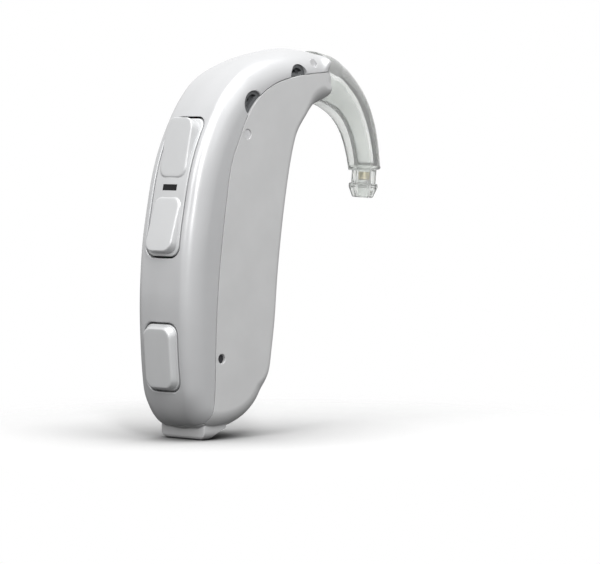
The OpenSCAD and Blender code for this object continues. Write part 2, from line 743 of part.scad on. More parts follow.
// Battery drawer with its cell
module grip_side() {
    y0 = reach(0.243);
    polygon([
        [y0, height(0.02)], [y0, grip_drop * 0.5], [y0 + grip_drop * 0.14, grip_drop * 0.16],
        [y0 + grip_drop * 0.5, 0], [y0 + grip_drop * 1.1, 0], [y0 + grip_drop * 1.6, grip_drop * 0.2],
        [y0 + grip_drop * 2.4, grip_drop * 0.62], [y0 + grip_drop * 3.2, grip_drop * 0.9],
        [y0 + grip_drop * 4.2, height(0.004)], [y0 + grip_drop * 4.2, height(0.02)]
    ]);
}
module battery_drawer() {
    color([0.72, 0.73, 0.74]) difference() {
        union() {
            difference() {
                intersection() {
                    case_body(0, inner_edge_steps);
                    block([reach(0.5), (hinge_at[1] - overrun) / 2],
                        [drawer_w, reach(1.5), hinge_at[1] + overrun]);
                }
                across(case_w) polygon(outline_inset(drawer_skin));
                across(case_w + overrun) spine_side(parting_gap);
            }
            rod(hinge_at, knuckle_r, drawer_w);
            intersection() {
                across(grip_w) grip_side();
                from_back(height(0.1) / 2, reach(0.6)) oblong(grip_w, height(0.1), grip_drop);
            }
            intersection() {
                rod(cell_at, cell_d / 2 + cradle_wall, cradle_w);
                block([cell_at[0] + cell_d * 0.4, cell_at[1]], [cradle_w, cell_d * 1.4, 2 * cell_d]);
            }
            block([cell_at[0] + cell_d * 0.58, cell_at[1]], [cradle_w, drawer_skin, cell_d / 3]);
            block([cell_at[0], cell_at[1] - cell_d * 0.6], [cradle_w, cell_d / 3, cell_d * 0.18]);
        }
        rod(cell_at, cell_d / 2 + fit_gap, cell_h + overrun);
        rod(hinge_at, hinge_pin_d / 2 + run_gap, case_w);
    }
}
module battery_cell() {
    cap_h = cell_h / 10;
    color([0.78, 0.78, 0.76]) {
        translate([cap_h / 2, 0, 0]) rod(cell_at, cell_d / 2, cell_h - cap_h);
        rod(cell_at, cell_d * 0.42, cell_h);
    }
}
module drawer_hinge_pin() {
    color([0.8, 0.8, 0.82]) rod(hinge_at, hinge_pin_d / 2, drawer_w + 2 * drawer_play + shell_wall - pin_sink);
}
module contact() {
    translate([cell_h / 2 + fit_gap, 0, 0]) translate([contact_t / 2, 0, 0]) across(contact_t)
        polygon([
            [cell_at[0] - contact_w / 2, frame_low + contact_w], [cell_at[0] - contact_w / 2, cell_at[1]],
            [cell_at[0] + contact_w / 2, cell_at[1]], [cell_at[0] + contact_w / 2, frame_low + contact_w]
        ]);
}
module positive_contact() {
    color([0.85, 0.72, 0.35]) contact();
}
module negative_contact() {
    color([0.85, 0.72, 0.35]) mirror([1, 0, 0]) contact();
}

// Microphones, their ports and ducts
module port_liners(p, r, duct, outer_share) {
    outer = case_w / 2 * outer_share;
    inner = case_w / 2 - shell_wall * 2;
    color([0.45, 0.46, 0.47]) both_sides() difference() {
        translate([(outer + inner) / 2, 0, 0]) intersection() {
            rod(p, r - fit_gap, outer - inner);
            across(case_w) spine_side(-fit_gap);
        }
        translate([outer, 0, 0]) intersection() {
            rod(p, r - liner_wall, shell_wall);
            across(case_w) spine_side(-liner_wall);
        }
        rod(duct, duct_r, 2 * case_w);
    }
}
module rear_port_liners() {
    port_liners(rear_port_at, rear_port_r, rear_duct_at, 0.945);
}
module front_port_liners() {
    port_liners(front_port_at, front_port_r, front_duct_at, 0.9);
}
duct_h = 0.7;
mic_rise = duct_h / 2 + fit_gap + mic_t / 2;
module microphone(duct, turn) {
    color([0.8, 0.76, 0.6]) block(
        duct + turned([0, mic_rise], turn), [mic_side, mic_side, mic_t], turn);
}
module rear_microphone() {
    microphone(rear_duct_at, rear_duct_turn);
}
module front_microphone() {
    microphone(front_duct_at, front_duct_turn);
}
duct_block = [case_w - 4 * shell_wall - 2 * fit_gap, 2 * duct_h, duct_h];
module microphone_gaskets() {
    for (d = [[rear_duct_at, rear_duct_turn], [front_duct_at, front_duct_turn]]) {
        color([0.25, 0.25, 0.27]) difference() {
            block(d[0], duct_block, d[1]);
            rod(d[0], duct_r, case_w);
            translate([0, d[0][0], d[0][1]]) rotate([d[1], 0, 0]) cylinder(h = overrun, r = duct_r * 0.8);
        }
    }
}

// Receiver in its rubber boot, and the tube to the hook
outlet_d = 0.9;
outlet_l = 0.9;
module receiver() {
    color([0.75, 0.76, 0.78]) {
        block(receiver_at, [receiver_w, receiver_t, receiver_l], receiver_turn);
        translate([0, outlet_at[0], outlet_at[1]]) rotate([receiver_turn, 0, 0])
            translate([0, 0, -fit_gap]) cylinder(h = outlet_l, d = outlet_d);
    }
}
boot_size = [receiver_w, receiver_t, receiver_l] + 2 * (boot_wall + fit_gap) * [1, 1, 1];
module receiver_suspension() {
    color([0.15, 0.15, 0.16]) difference() {
        block(receiver_at, boot_size, receiver_turn);
        block(receiver_at, [receiver_w, receiver_t, receiver_l] + 2 * fit_gap * [1, 1, 1], receiver_turn);
        translate([0, receiver_at[0], receiver_at[1]]) rotate([receiver_turn, 0, 0]) {
            cylinder(h = receiver_l, d = tube_od + 2 * fit_gap);
            translate([0, 0, -receiver_l]) cylinder(h = receiver_l, d = tube_od);
        }
    }
}
module receiver_tube() {
    color([0.7, 0.72, 0.7]) swept_tube(tube_line, tube_od / 2, tube_id / 2, bore_sides);
}

// Frame inside the case
module frame_side() {
    difference() {
        polygon(outline_inset(shell_wall + spine_crown + 2 * seat_gap));
        spine_side(3 * seat_gap);
        translate([-overrun, -overrun]) square([reach(2), frame_low + overrun]);
        translate([spigot_at[0] - gasket_d - 2 * fit_gap, frame_low])
            square([reach(2), height(1)]);
        translate([hinge_at[0] - knuckle_r - drawer_play - seat_gap, -overrun])
            square([reach(1), hinge_at[1] + overrun]);
    }
}
module chassis_frame() {
    play = 2 * seat_gap * [0, 1, 1] + overrun * [1, 0, 0];
    tube_left = line_beside(tube_line, tube_od / 2 + seat_gap);
    tube_right = line_beside(tube_line, -tube_od / 2 - seat_gap);
    color([0.35, 0.37, 0.40]) difference() {
        union() {
            across(frame_w) frame_side();
            both_sides() translate([cell_h / 2 + 2 * contact_t + arm_t / 2, 0, 0]) across(arm_t)
                translate([lower_pin_at[0] - arm_w / 2, arm_low])
                    square([arm_w, frame_low + arm_w - arm_low]);
            both_sides() translate([board_w / 2 + fit_gap + pivot_ear_w / 4, 0, 0]) {
                rod(pivot_at, pivot_ear_r - seat_gap, pivot_ear_w / 2);
                block(pivot_at + [reach(0.12), 0], [pivot_ear_w / 2, reach(0.24), pivot_ear_r]);
            }
        }
        block(receiver_at, boot_size + play, receiver_turn);
        block(telecoil_at, telecoil_size + play, telecoil_turn);
        rod(wireless_at, wireless_d / 2 + seat_gap, case_w);
        translate([case_w / 2 - tube_od / 2 - seat_gap, 0, 0]) across(case_w)
            polygon(concat(tube_left, [for (i = [len(tube_right) - 1:-1:0]) tube_right[i]]));
        rod(upper_pin_at, pin_d / 2 + fit_gap, case_w);
        rod(lower_pin_at, pin_d / 2 + fit_gap, case_w);
        rod(pivot_at, pivot_pin_d / 2 + fit_gap, case_w);
        block(rear_duct_at, duct_block + play, rear_duct_turn);
        block(front_duct_at, duct_block + play, front_duct_turn);
        along_y(spigot_at - [spigot_tail + nipple_l, 0])
            cylinder(h = spigot_tail + nipple_l + overrun, d = spigot_d + 2 * fit_gap);
        rod(hinge_at, knuckle_r + drawer_play + seat_gap, case_w);
        block((lead_rows[0] + lead_rows[3]) / 2,
            [case_w, lead_rows[0][0] - lead_rows[3][0] + 2 * lead_d,
                lead_rows[0][1] - lead_rows[3][1] + 4 * lead_d]);
        both_sides() translate([cell_h / 2 + contact_t / 2 + fit_gap, 0, 0])
            block([cell_at[0], frame_low], [contact_t + 2 * fit_gap, contact_w + 2 * fit_gap, 2 * contact_w + fit_gap]);
    }
}

// Electronics
module amplifier_board() {
    color([0.12, 0.35, 0.22]) across(board_w)
        spine_strip(board_low, board_top, board_in, board_in + board_t);
}
module on_board(z, size) {
    at_spine(z, board_in + board_t + size[1] / 2 + 1.5 * seat_gap)
        cube([size[0], size[2], size[1]], center = true);
}
module sound_processor() {
    color([0.1, 0.1, 0.11]) on_board(processor_mid, processor_size);
}
capacitor_size = [0.6, 0.5, 1];
capacitor_shares = [0.33, 0.36, 0.55, 0.58];
module board_capacitors() {
    color([0.7, 0.6, 0.45]) for (s = capacitor_shares) {
        both_sides() translate([board_w / 4, 0, 0]) on_board(height(s), capacitor_size);
    }
}
module status_led() {
    color([0.9, 0.9, 0.85]) at_spine(rocker_mid, board_in - led_size[1] / 2 - fit_gap)
        cube([led_size[0], led_size[2], led_size[1]], center = true);
}
module telecoil() {
    end = telecoil_size[0];
    color([0.6, 0.35, 0.2]) translate([0, telecoil_at[0], telecoil_at[1]]) rotate([telecoil_turn, 0, 0]) {
        cylinder(h = telecoil_size[2] - end / 2, d = end * 0.85, center = true);
        for (s = [-1, 1]) {
            translate([0, 0, s * (telecoil_size[2] / 2 - end / 6)]) cube([end, end, end / 3], center = true);
        }
    }
}
module wireless_coil() {
    color([0.6, 0.35, 0.2]) {
        rod(wireless_at, wireless_d / 2 * 0.8, wireless_l);
        both_sides() translate([wireless_l / 2 - wireless_d / 6, 0, 0])
            rod(wireless_at, wireless_d / 2, wireless_d / 3);
    }
}

// Leads inside the case
mic_lead_rows = [
    place([1.26, 0.957]), place([0.99, 0.950]), place([0.822, 0.931]), place([0.671, 0.900]),
    place([0.562, 0.857]), place([0.507, 0.818]), spine_in(board_top + lead_d, board_in + board_t / 2)
];
lead_rows = [
    receiver_at - turned([0, receiver_l / 2 + 2 * fit_gap], receiver_turn), place([0.660, 0.376]),
    place([0.500, 0.367]), place([0.330, 0.367]),
    spine_in(height(0.37), board_in + board_t + lead_d)
];
lead_sides = 8;
module microphone_leads() {
    color([0.75, 0.2, 0.2]) both_sides() translate([(mic_side + lead_d) / 2 + fit_gap, 0, 0])
        swept_rod(smooth_line(mic_lead_rows, 2), lead_d / 2, lead_sides);
}
module receiver_leads() {
    color([0.2, 0.3, 0.7]) both_sides() translate([2 * lead_d, 0, 0])
        swept_rod(smooth_line(lead_rows, 2), lead_d / 2, lead_sides);
}

module in_place() {
    translate([0, -origin_y, 0]) children();
}
in_place() outer_shell();
in_place() inner_shell();
in_place() ear_hook();
in_place() hook_damper();
in_place() hook_gasket();
in_place() hook_pin();
in_place() upper_housing_pin();
in_place() lower_housing_pins();
in_place() rocker_button();
in_place() status_window();
in_place() rocker_pivot_pin();
in_place() upper_switch_plunger();
in_place() lower_switch_plunger();
in_place() rocker_switches();
in_place() push_button();
in_place() program_plunger();
in_place() program_switch();
in_place() battery_drawer();
in_place() battery_cell();
in_place() drawer_hinge_pin();
in_place() positive_contact();
in_place() negative_contact();
in_place() rear_port_liners();
in_place() front_port_liners();
in_place() rear_microphone();
in_place() front_microphone();
in_place() microphone_gaskets();
in_place() receiver();
in_place() receiver_suspension();
in_place() receiver_tube();
in_place() sound_spigot();
in_place() chassis_frame();
in_place() amplifier_board();
in_place() sound_processor();
in_place() board_capacitors();
in_place() status_led();
in_place() telecoil();
in_place() wireless_coil();
in_place() microphone_leads();
in_place() receiver_leads();
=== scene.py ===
import math

import bmesh
import bpy
import numpy as np
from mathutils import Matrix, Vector


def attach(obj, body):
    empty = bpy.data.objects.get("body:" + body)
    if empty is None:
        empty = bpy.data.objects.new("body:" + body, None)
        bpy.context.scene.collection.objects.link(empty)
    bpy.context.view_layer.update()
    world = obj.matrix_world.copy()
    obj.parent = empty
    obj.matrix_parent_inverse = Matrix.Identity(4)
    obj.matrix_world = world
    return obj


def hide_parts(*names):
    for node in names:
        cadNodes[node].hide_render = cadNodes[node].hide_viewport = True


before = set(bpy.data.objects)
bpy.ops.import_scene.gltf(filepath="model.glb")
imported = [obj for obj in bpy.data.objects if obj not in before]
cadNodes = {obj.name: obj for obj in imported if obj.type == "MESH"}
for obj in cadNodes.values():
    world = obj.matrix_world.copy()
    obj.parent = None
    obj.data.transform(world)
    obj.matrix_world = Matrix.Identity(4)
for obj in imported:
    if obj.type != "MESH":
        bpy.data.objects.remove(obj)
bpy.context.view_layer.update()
print("frame loaded,", len(cadNodes), "nodes")

mm = 0.001
weldDistance = 1e-8  # metres


def awayFrom(azimuth, elevation):
    # the direction of a viewpoint, 0 degrees faces the spine
    a, e = math.radians(azimuth), math.radians(elevation)
    return Vector((math.sin(a) * math.cos(e), -math.cos(a) * math.cos(e), math.sin(e)))


# camera first: the angle and framing of the photograph
cameraView = {
    "azimuth": 42.5, "elevation": 2.8, "distance": 370.0, "lens": 196.2, "sensor": 36.0,
    "clip": (0.01, 10.0), "target": (0.0, 5.19, 16.46),
}


def placeCamera(view):
    away = awayFrom(view["azimuth"], view["elevation"])
    data = bpy.data.cameras.new("photoCamera")
    data.lens = view["lens"]
    data.sensor_width = view["sensor"]
    data.clip_start, data.clip_end = view["clip"]
    camera = bpy.data.objects.new("photoCamera", data)
    camera.location = (Vector(view["target"]) + away * view["distance"]) * mm
    camera.rotation_euler = away.to_track_quat("Z", "Y").to_euler()
    bpy.context.scene.collection.objects.link(camera)
    bpy.context.scene.camera = camera


placeCamera(cameraView)

# the case: its size in mm and its side outline in shares, the same rows as in the part's source
case = {
    "width": 8.6, "height": 41.85, "depth": 14.6, "overhang": 10.15, "drop": 0.95,
    "wall": 0.8, "crown": 0.12, "gap": 0.06, "originY": 17.3176,
    "spineIn": 2.8, "spineAcross": 1.6, "front": 1.2, "foot": 2.3, "endAcross": 3.6,
    "leastEdge": 0.3, "rowSteps": 3, "refine": 4, "edgeSteps": 12, "wallSteps": 4,
}
halfCase = case["width"] / 2


def reachAt(s):
    far = case["depth"] + (s - 1) * case["overhang"]
    return (s * case["depth"] if s <= 1 else far) - case["originY"]


def heightAt(s):
    return case["drop"] + s * case["height"]


spineEdge = (case["spineIn"], case["spineAcross"])
crownEdge = (case["spineIn"], (case["spineAcross"] + case["endAcross"]) / 2)
hookEnd = (case["foot"], case["endAcross"])
crownEnd = (case["spineIn"], case["endAcross"])
footEdge = (case["foot"], case["foot"])
frontEdge = (case["front"], case["front"])
outlineRows = [
    (1.832, 0.988, hookEnd), (1.532, 1.000, crownEnd), (1.138, 0.992, crownEnd),
    (0.822, 0.964, crownEdge), (0.589, 0.920, spineEdge), (0.411, 0.859, spineEdge),
    (0.288, 0.793, spineEdge), (0.195, 0.728, spineEdge), (0.127, 0.658, spineEdge),
    (0.075, 0.577, spineEdge), (0.034, 0.498, spineEdge), (0.010, 0.412, spineEdge),
    (0.000, 0.324, spineEdge), (0.007, 0.235, spineEdge), (0.024, 0.154, spineEdge),
    (0.055, 0.090, spineEdge), (0.120, 0.039, footEdge), (0.219, 0.008, footEdge),
    (0.356, 0.000, footEdge),
    (0.521, 0.006, footEdge), (0.678, 0.026, footEdge), (0.795, 0.056, footEdge),
    (0.877, 0.094, footEdge), (0.921, 0.142, frontEdge), (0.959, 0.207, frontEdge),
    (0.993, 0.288, frontEdge), (1.030, 0.391, frontEdge), (1.084, 0.491, frontEdge),
    (1.158, 0.599, frontEdge), (1.246, 0.699, frontEdge), (1.340, 0.768, frontEdge),
    (1.473, 0.811, frontEdge), (1.660, 0.840, footEdge), (1.830, 0.850, hookEnd),
    (1.940, 0.868, hookEnd), (1.990, 0.896, hookEnd), (1.990, 0.930, hookEnd),
    (1.930, 0.966, hookEnd),
]
partingRows = [
    (2.30, 0.948), (1.76, 0.936), (1.33, 0.926), (0.98, 0.907), (0.788, 0.872),
    (0.651, 0.821), (0.548, 0.754), (0.466, 0.689), (0.411, 0.589), (0.370, 0.498),
    (0.336, 0.407), (0.308, 0.288), (0.298, 0.204), (0.288, 0.097), (0.264, 0.049),
    (0.212, 0.022), (0.100, -0.010),
]


def throughRows(a, b, c, d, t):
    return (2 * b + (c - a) * t + (2 * a - 5 * b + 4 * c - d) * t * t
            + (3 * b - a - 3 * c + d) * t ** 3) / 2


def smoothLoop(rows, steps):
    rows = np.asarray(rows, float)
    n = len(rows)
    return np.array([throughRows(rows[i - 1], rows[i], rows[(i + 1) % n], rows[(i + 2) % n], k / steps)
                     for i in range(n) for k in range(steps)])


def smoothLine(rows, steps):
    rows = np.asarray(rows, float)
    n = len(rows)
    hold = lambda i: max(0, min(i, n - 1))
    out = []
    for i in range(n - 1):
        for k in range(steps + (1 if i == n - 2 else 0)):
            out.append(throughRows(rows[hold(i - 1)], rows[i], rows[hold(i + 1)], rows[hold(i + 2)], k / steps))
    return np.array(out)


def sideNormals(points, closed):
    if closed:
        run = np.roll(points, -1, 0) - np.roll(points, 1, 0)
    else:
        run = np.vstack([points[1] - points[0], points[2:] - points[:-2], points[-1] - points[-2]])
    run = run / np.linalg.norm(run, axis=1)[:, None]
    return np.stack([-run[:, 1], run[:, 0]], 1)


outline = smoothLoop([(reachAt(r[0]), heightAt(r[1])) + r[2] for r in outlineRows], case["rowSteps"])
outlineIn = sideNormals(outline[:, :2], True)
parting = smoothLine([(reachAt(s), heightAt(h)) for s, h in partingRows], 10)


def deepestInset():
    # how deep each point can go before its neighbours' lines cross
    safeShare, nearZero, noLimit = 0.8, 1e-6, 99.0
    run = np.roll(outline[:, :2], -1, 0) - outline[:, :2]
    turn = np.roll(outlineIn, -1, 0) - outlineIn
    close = -(run * turn).sum(1) / (run * run).sum(1)
    limit = np.where(close > nearZero, safeShare / np.maximum(close, nearZero), noLimit)
    limit = np.minimum(limit, np.roll(limit, 1))
    limit = np.minimum(limit, np.minimum(np.roll(limit, 1), np.roll(limit, -1)))
    return (limit + np.roll(limit, 1) + np.roll(limit, -1)) / 3


insetLimit = deepestInset()

# mesh helpers, all in mm until the piece is made


def makePiece(name, points, faces):
    mesh = bpy.data.meshes.new(name)
    mesh.from_pydata([tuple(float(c) * mm for c in p) for p in points], [], [list(map(int, f)) for f in faces])
    work = bmesh.new()
    work.from_mesh(mesh)
    bmesh.ops.remove_doubles(work, verts=work.verts, dist=weldDistance)
    bmesh.ops.recalc_face_normals(work, faces=work.faces)
    work.to_mesh(mesh)
    work.free()
    piece = bpy.data.objects.new(name, mesh)
    bpy.context.scene.collection.objects.link(piece)
    return piece


def loftRings(name, rings, caps=(0, -1), closeRound=False):
    # caps says which end rings are closed with a fan
    rings = [np.asarray(r, float) for r in rings]
    n, k = len(rings), len(rings[0])
    points = [p for r in rings for p in r]
    faces = []
    for i in range(n if closeRound else n - 1):
        a, b = i * k, ((i + 1) % n) * k
        faces += [(a + j, a + (j + 1) % k, b + (j + 1) % k, b + j) for j in range(k)]
    for cap in () if closeRound else caps:
        start = (cap % n) * k
        points.append(rings[cap].mean(0))
        faces += [(start + j, start + (j + 1) % k, len(points) - 1) for j in range(k)]
    return makePiece(name, points, faces)


def prismAcross(name, shape, width):
    shape = np.asarray(shape, float)
    n = len(shape)
    points = [(-width / 2, p[0], p[1]) for p in shape] + [(width / 2, p[0], p[1]) for p in shape]
    faces = [list(range(n)), list(range(2 * n - 1, n - 1, -1))]
    faces += [(i, (i + 1) % n, n + (i + 1) % n, n + i) for i in range(n)]
    return makePiece(name, points, faces)


def boxPiece(name, centre, size):
    c, s = np.asarray(centre, float), np.asarray(size, float) / 2
    points = [c + s * (x, y, z) for x in (-1, 1) for y in (-1, 1) for z in (-1, 1)]
    faces = [(0, 1, 3, 2), (4, 6, 7, 5), (0, 4, 5, 1), (2, 3, 7, 6), (0, 2, 6, 4), (1, 5, 7, 3)]
    return makePiece(name, points, faces)


def rodPiece(name, at, radius, half, lip=0.0):
    # a rod across the case; a lip flares it where it meets the flat sides
    overrun, lipSteps, sides = 1.0, 6, 96
    stations = [(half, radius)]
    if lip:
        stations = [(halfCase + overrun, radius + lip)]
        stations += [(halfCase - lip * (1 - math.cos(t)), radius + lip * (1 - math.sin(t)))
                     for t in np.linspace(0, math.pi / 2, lipSteps)]
    stations += [(-x, r) for x, r in reversed(stations)]
    turn = np.linspace(0, 2 * math.pi, sides, endpoint=False)
    rings = [[(x, at[0] + r * math.cos(a), at[1] + r * math.sin(a)) for a in turn] for x, r in stations]
    return loftRings(name, rings)


def carve(piece, tool, how="DIFFERENCE"):
    cut = piece.modifiers.new("cut", "BOOLEAN")
    cut.operation = how
    cut.solver = "EXACT"
    cut.object = tool
    bpy.context.view_layer.update()
    carved = bpy.data.meshes.new_from_object(piece.evaluated_get(bpy.context.evaluated_depsgraph_get()))
    piece.modifiers.clear()
    piece.data = carved
    bpy.data.objects.remove(tool)


def joinPieces(main, others):
    work = bmesh.new()
    for p in [main] + others:
        work.from_mesh(p.data)
    work.to_mesh(main.data)
    work.free()
    for p in others:
        bpy.data.objects.remove(p)


def softenShade(piece, sharp=35.0):
    mesh = piece.data
    mesh.polygons.foreach_set("use_smooth", [True] * len(mesh.polygons))
    mesh.set_sharp_from_angle(angle=math.radians(sharp))
    even = piece.modifiers.new("evenNormals", "WEIGHTED_NORMAL")
    even.keep_sharp = True
    even.weight = 50


def caseRing(half, edgeIn, edgeAcross, steps):
    crown = case["crown"]
    side = [(half - edgeAcross * (1 - math.cos(a)), crown + (edgeIn - crown) * (1 - math.sin(a)))
            for a in np.linspace(0, math.pi / 2, steps + 1)]
    flat = half - edgeAcross
    top = [(s * flat, crown * s * s * (3 - 2 * s)) for s in (0.8, 0.6, 0.4, 0.2)]
    right = side + top
    return right + [(0.0, 0.0)] + [(-x, d) for x, d in reversed(right)]


def caseBody(name, inset, steps, refine):
    rings = []
    for p, q, deepest in zip(outline, outlineIn, insetLimit):
        edgeIn = max(min(p[2], deepest) - inset, case["leastEdge"])
        ring = caseRing(halfCase - inset, edgeIn, max(p[3] - inset, case["leastEdge"]), steps)
        rings.append([(x, p[0] + (inset + d) * q[0], p[1] + (inset + d) * q[1]) for x, d in ring])
    grid = np.array(rings)
    grid = smoothLoop(grid, refine) if refine > 1 else grid
    n, k = grid.shape[:2]
    points = grid.reshape(-1, 3)
    faces = [(i * k + j, ((i + 1) % n) * k + j, ((i + 1) % n) * k + j + 1, i * k + j + 1)
             for i in range(n) for j in range(k - 1)]
    faces += [[i * k for i in range(n)], [i * k + k - 1 for i in range(n - 1, -1, -1)]]
    return makePiece(name, points, faces)


def spineSide(name, gap, width):
    beyond = 2
    edge = parting + gap * sideNormals(parting, False)
    back, low, high = -beyond - case["originY"], heightAt(0) - beyond, heightAt(1) + beyond
    shape = list(edge) + [(back, low), (back, high), (edge[0][0], high)]
    return prismAcross(name, shape, width)


# heights down the spine, for whatever sits on it
fineSteps, spineTop, spineFoot = 4, 2, 16
perRow = case["rowSteps"] * fineSteps
spineTable = smoothLoop(outline[:, :2], fineSteps)[spineTop * perRow:spineFoot * perRow + 1][::-1]


def spineY(z):
    return float(np.interp(z, spineTable[:, 1], spineTable[:, 0]))


def spineTurn(z):
    probe = case["height"] / 100
    return math.atan((spineY(z + probe) - spineY(z - probe)) / (2 * probe))


def spineIn(z, d):
    return np.array([spineY(z) + d * math.cos(spineTurn(z)), z - d * math.sin(spineTurn(z))])


def crownDrop(x):
    s = min(abs(x) / (halfCase - case["spineAcross"]), 1.0)
    return case["crown"] * s * s * (3 - 2 * s)


def oblongPoints(w, l, r):
    cornerSteps, longest = 10, 0.5
    corners = []
    for q in range(4):
        sx, sy = (1 if q in (0, 3) else -1), (1 if q < 2 else -1)
        for k in range(cornerSteps + 1):
            a = math.pi / 2 * (q + k / cornerSteps)
            corners.append((sx * (w / 2 - r) + r * math.cos(a), sy * (l / 2 - r) + r * math.sin(a)))
    # long straight sides get more points, so that they follow the spine
    out = []
    for i, p in enumerate(corners):
        q = corners[(i + 1) % len(corners)]
        parts = max(1, int(math.dist(p, q) / longest))
        out += [(p[0] + (q[0] - p[0]) * t / parts, p[1] + (q[1] - p[1]) * t / parts) for t in range(parts)]
    return out


def grown(c, flat, grow):
    # moves a point out, or in where grow is negative, and less so near the middle
    return c + grow * math.copysign(1.0, c) * min(1.0, abs(c) / flat if flat > 0 else 1)


def spineRings(mid, w, l, r, stations):
    # rings that follow the spine, each one at a depth and grown by a margin
    base = oblongPoints(w, l, r)
    rings = []
    for depth, grow in stations:
        shape = [(grown(x, w / 2 - r, grow), grown(v, l / 2 - r, grow)) for x, v in base]
        rings.append([(x, spineY(mid + v) + crownDrop(x) + depth, mid + v) for x, v in shape])
    return rings


def lipStations(lip, outside, inside):
    turn = np.linspace(0, math.pi / 2, 7)
    return [(-outside, lip)] + [(lip * (1 - math.cos(t)), lip * (1 - math.sin(t))) for t in turn] + [(inside, 0.0)]


# finishes: procedural, each with its own grain, tone and gloss


def newFinish(name):
    material = bpy.data.materials.new(name)
    material.use_nodes = True
    nodes, links = material.node_tree.nodes, material.node_tree.links
    shader = next(n for n in nodes if n.type == "BSDF_PRINCIPLED")
    place = nodes.new("ShaderNodeTexCoord")
    return material, nodes, links, shader, place


def addNoise(nodes, links, place, scale, detail):
    noise = nodes.new("ShaderNodeTexNoise")
    noise.inputs["Scale"].default_value = scale
    noise.inputs["Detail"].default_value = detail
    noise.inputs["Roughness"].default_value = 0.55
    links.new(place.outputs["Object"], noise.inputs["Vector"])
    return noise.outputs["Fac"]


def addRamp(nodes, links, shader, source, low, high):
    ramp = nodes.new("ShaderNodeValToRGB")
    for element, share, colour in zip(ramp.color_ramp.elements, (0.3, 0.7), (low, high)):
        element.position, element.color = share, (*colour, 1)
    links.new(source, ramp.inputs["Fac"])
    links.new(ramp.outputs["Color"], shader.inputs["Base Color"])


def addGloss(nodes, links, shader, source, fromSpan, rough):
    gloss = nodes.new("ShaderNodeMapRange")
    for key, value in zip(("From Min", "From Max", "To Min", "To Max"), fromSpan + rough):
        gloss.inputs[key].default_value = value
    links.new(source, gloss.inputs["Value"])
    links.new(gloss.outputs["Result"], shader.inputs["Roughness"])


def addBump(nodes, links, shader, source, strength, distance):
    bumps = nodes.new("ShaderNodeBump")
    bumps.inputs["Strength"].default_value = strength
    bumps.inputs["Distance"].default_value = distance
    links.new(source, bumps.inputs["Height"])
    links.new(bumps.outputs["Normal"], shader.inputs["Normal"])


def mouldedPlastic(name, colour, tone, rough, grain, bump, metallic=0.0, coat=0.0, coatRough=0.1, ior=1.48):
    # moulded plastic or metal: faint cloudy tone, fine grain in bump and gloss
    cloudScale, bumpDistance = 220.0, 0.00005
    material, nodes, links, shader, place = newFinish(name)
    clouds = addNoise(nodes, links, place, cloudScale, 3.0)
    lift = lambda k: tuple(max(0.0, min(1.0, c * k)) for c in colour)
    addRamp(nodes, links, shader, clouds, lift(1 - tone), lift(1 + tone))
    fine = addNoise(nodes, links, place, grain, 2.0)
    addGloss(nodes, links, shader, fine, (0.3, 0.7), rough)
    addBump(nodes, links, shader, fine, bump, bumpDistance)
    shader.inputs["Metallic"].default_value = metallic
    shader.inputs["IOR"].default_value = ior
    shader.inputs["Coat Weight"].default_value = coat
    shader.inputs["Coat Roughness"].default_value = coatRough
    return material


# name, colour, tone, roughness, grain, bump, then metallic, coat, coat roughness and index
finishRows = {
    "silver_shell": ("pearlSilver", (0.49, 0.493, 0.50), 0.02, (0.29, 0.35), 14000, 0.03, 0.25, 0.25, 0.06),
    "grey_shell": ("mattGrey", (0.50, 0.502, 0.504), 0.03, (0.50, 0.62), 7000, 0.16),
    "silver_button": ("buttonSilver", (0.53, 0.535, 0.54), 0.02, (0.32, 0.40), 12000, 0.05, 0.2, 0.2, 0.1),
    "dark_window": ("smokedWindow", (0.004, 0.004, 0.005), 0.2, (0.30, 0.38), 9000, 0.01, 0.0, 0.0, 0.05, 1.3),
    "pin_steel": ("pinSteel", (0.62, 0.62, 0.63), 0.05, (0.25, 0.36), 16000, 0.06, 0.4),
    "pin_dark": ("pinDark", (0.035, 0.035, 0.04), 0.10, (0.35, 0.5), 16000, 0.06, 0.5),
    "port_grey": ("portGrey", (0.085, 0.088, 0.092), 0.08, (0.5, 0.65), 8000, 0.12),
    "cell_steel": ("cellSteel", (0.62, 0.61, 0.58), 0.06, (0.20, 0.36), 9000, 0.08, 1.0),
    "contact_gold": ("contactGold", (0.78, 0.56, 0.22), 0.06, (0.22, 0.35), 9000, 0.06, 1.0),
    "board_green": ("boardGreen", (0.03, 0.14, 0.07), 0.25, (0.30, 0.45), 5000, 0.08, 0.0, 0.3, 0.1),
    "chip_black": ("chipBlack", (0.02, 0.02, 0.022), 0.2, (0.45, 0.6), 9000, 0.15),
    "ceramic_tan": ("ceramicTan", (0.42, 0.30, 0.18), 0.12, (0.35, 0.5), 9000, 0.10),
    "led_white": ("lampWhite", (0.80, 0.79, 0.72), 0.05, (0.20, 0.3), 6000, 0.04),
    "coil_copper": ("coilCopper", (0.62, 0.28, 0.12), 0.15, (0.25, 0.4), 12000, 0.3, 0.9),
    "rubber_black": ("rubberBlack", (0.03, 0.03, 0.032), 0.15, (0.65, 0.8), 7000, 0.25),
    "can_steel": ("canSteel", (0.58, 0.58, 0.60), 0.05, (0.25, 0.38), 9000, 0.05, 1.0),
    "mic_gold": ("microphoneCan", (0.70, 0.62, 0.42), 0.05, (0.25, 0.38), 9000, 0.05, 1.0),
    "tube_clear": ("tubeMilky", (0.62, 0.65, 0.60), 0.04, (0.25, 0.35), 6000, 0.04),
    "frame_grey": ("frameGrey", (0.09, 0.10, 0.11), 0.12, (0.5, 0.65), 7000, 0.15),
    "lead_red": ("leadRed", (0.45, 0.04, 0.03), 0.15, (0.35, 0.5), 9000, 0.08),
    "lead_blue": ("leadBlue", (0.04, 0.07, 0.42), 0.15, (0.35, 0.5), 9000, 0.08),
}
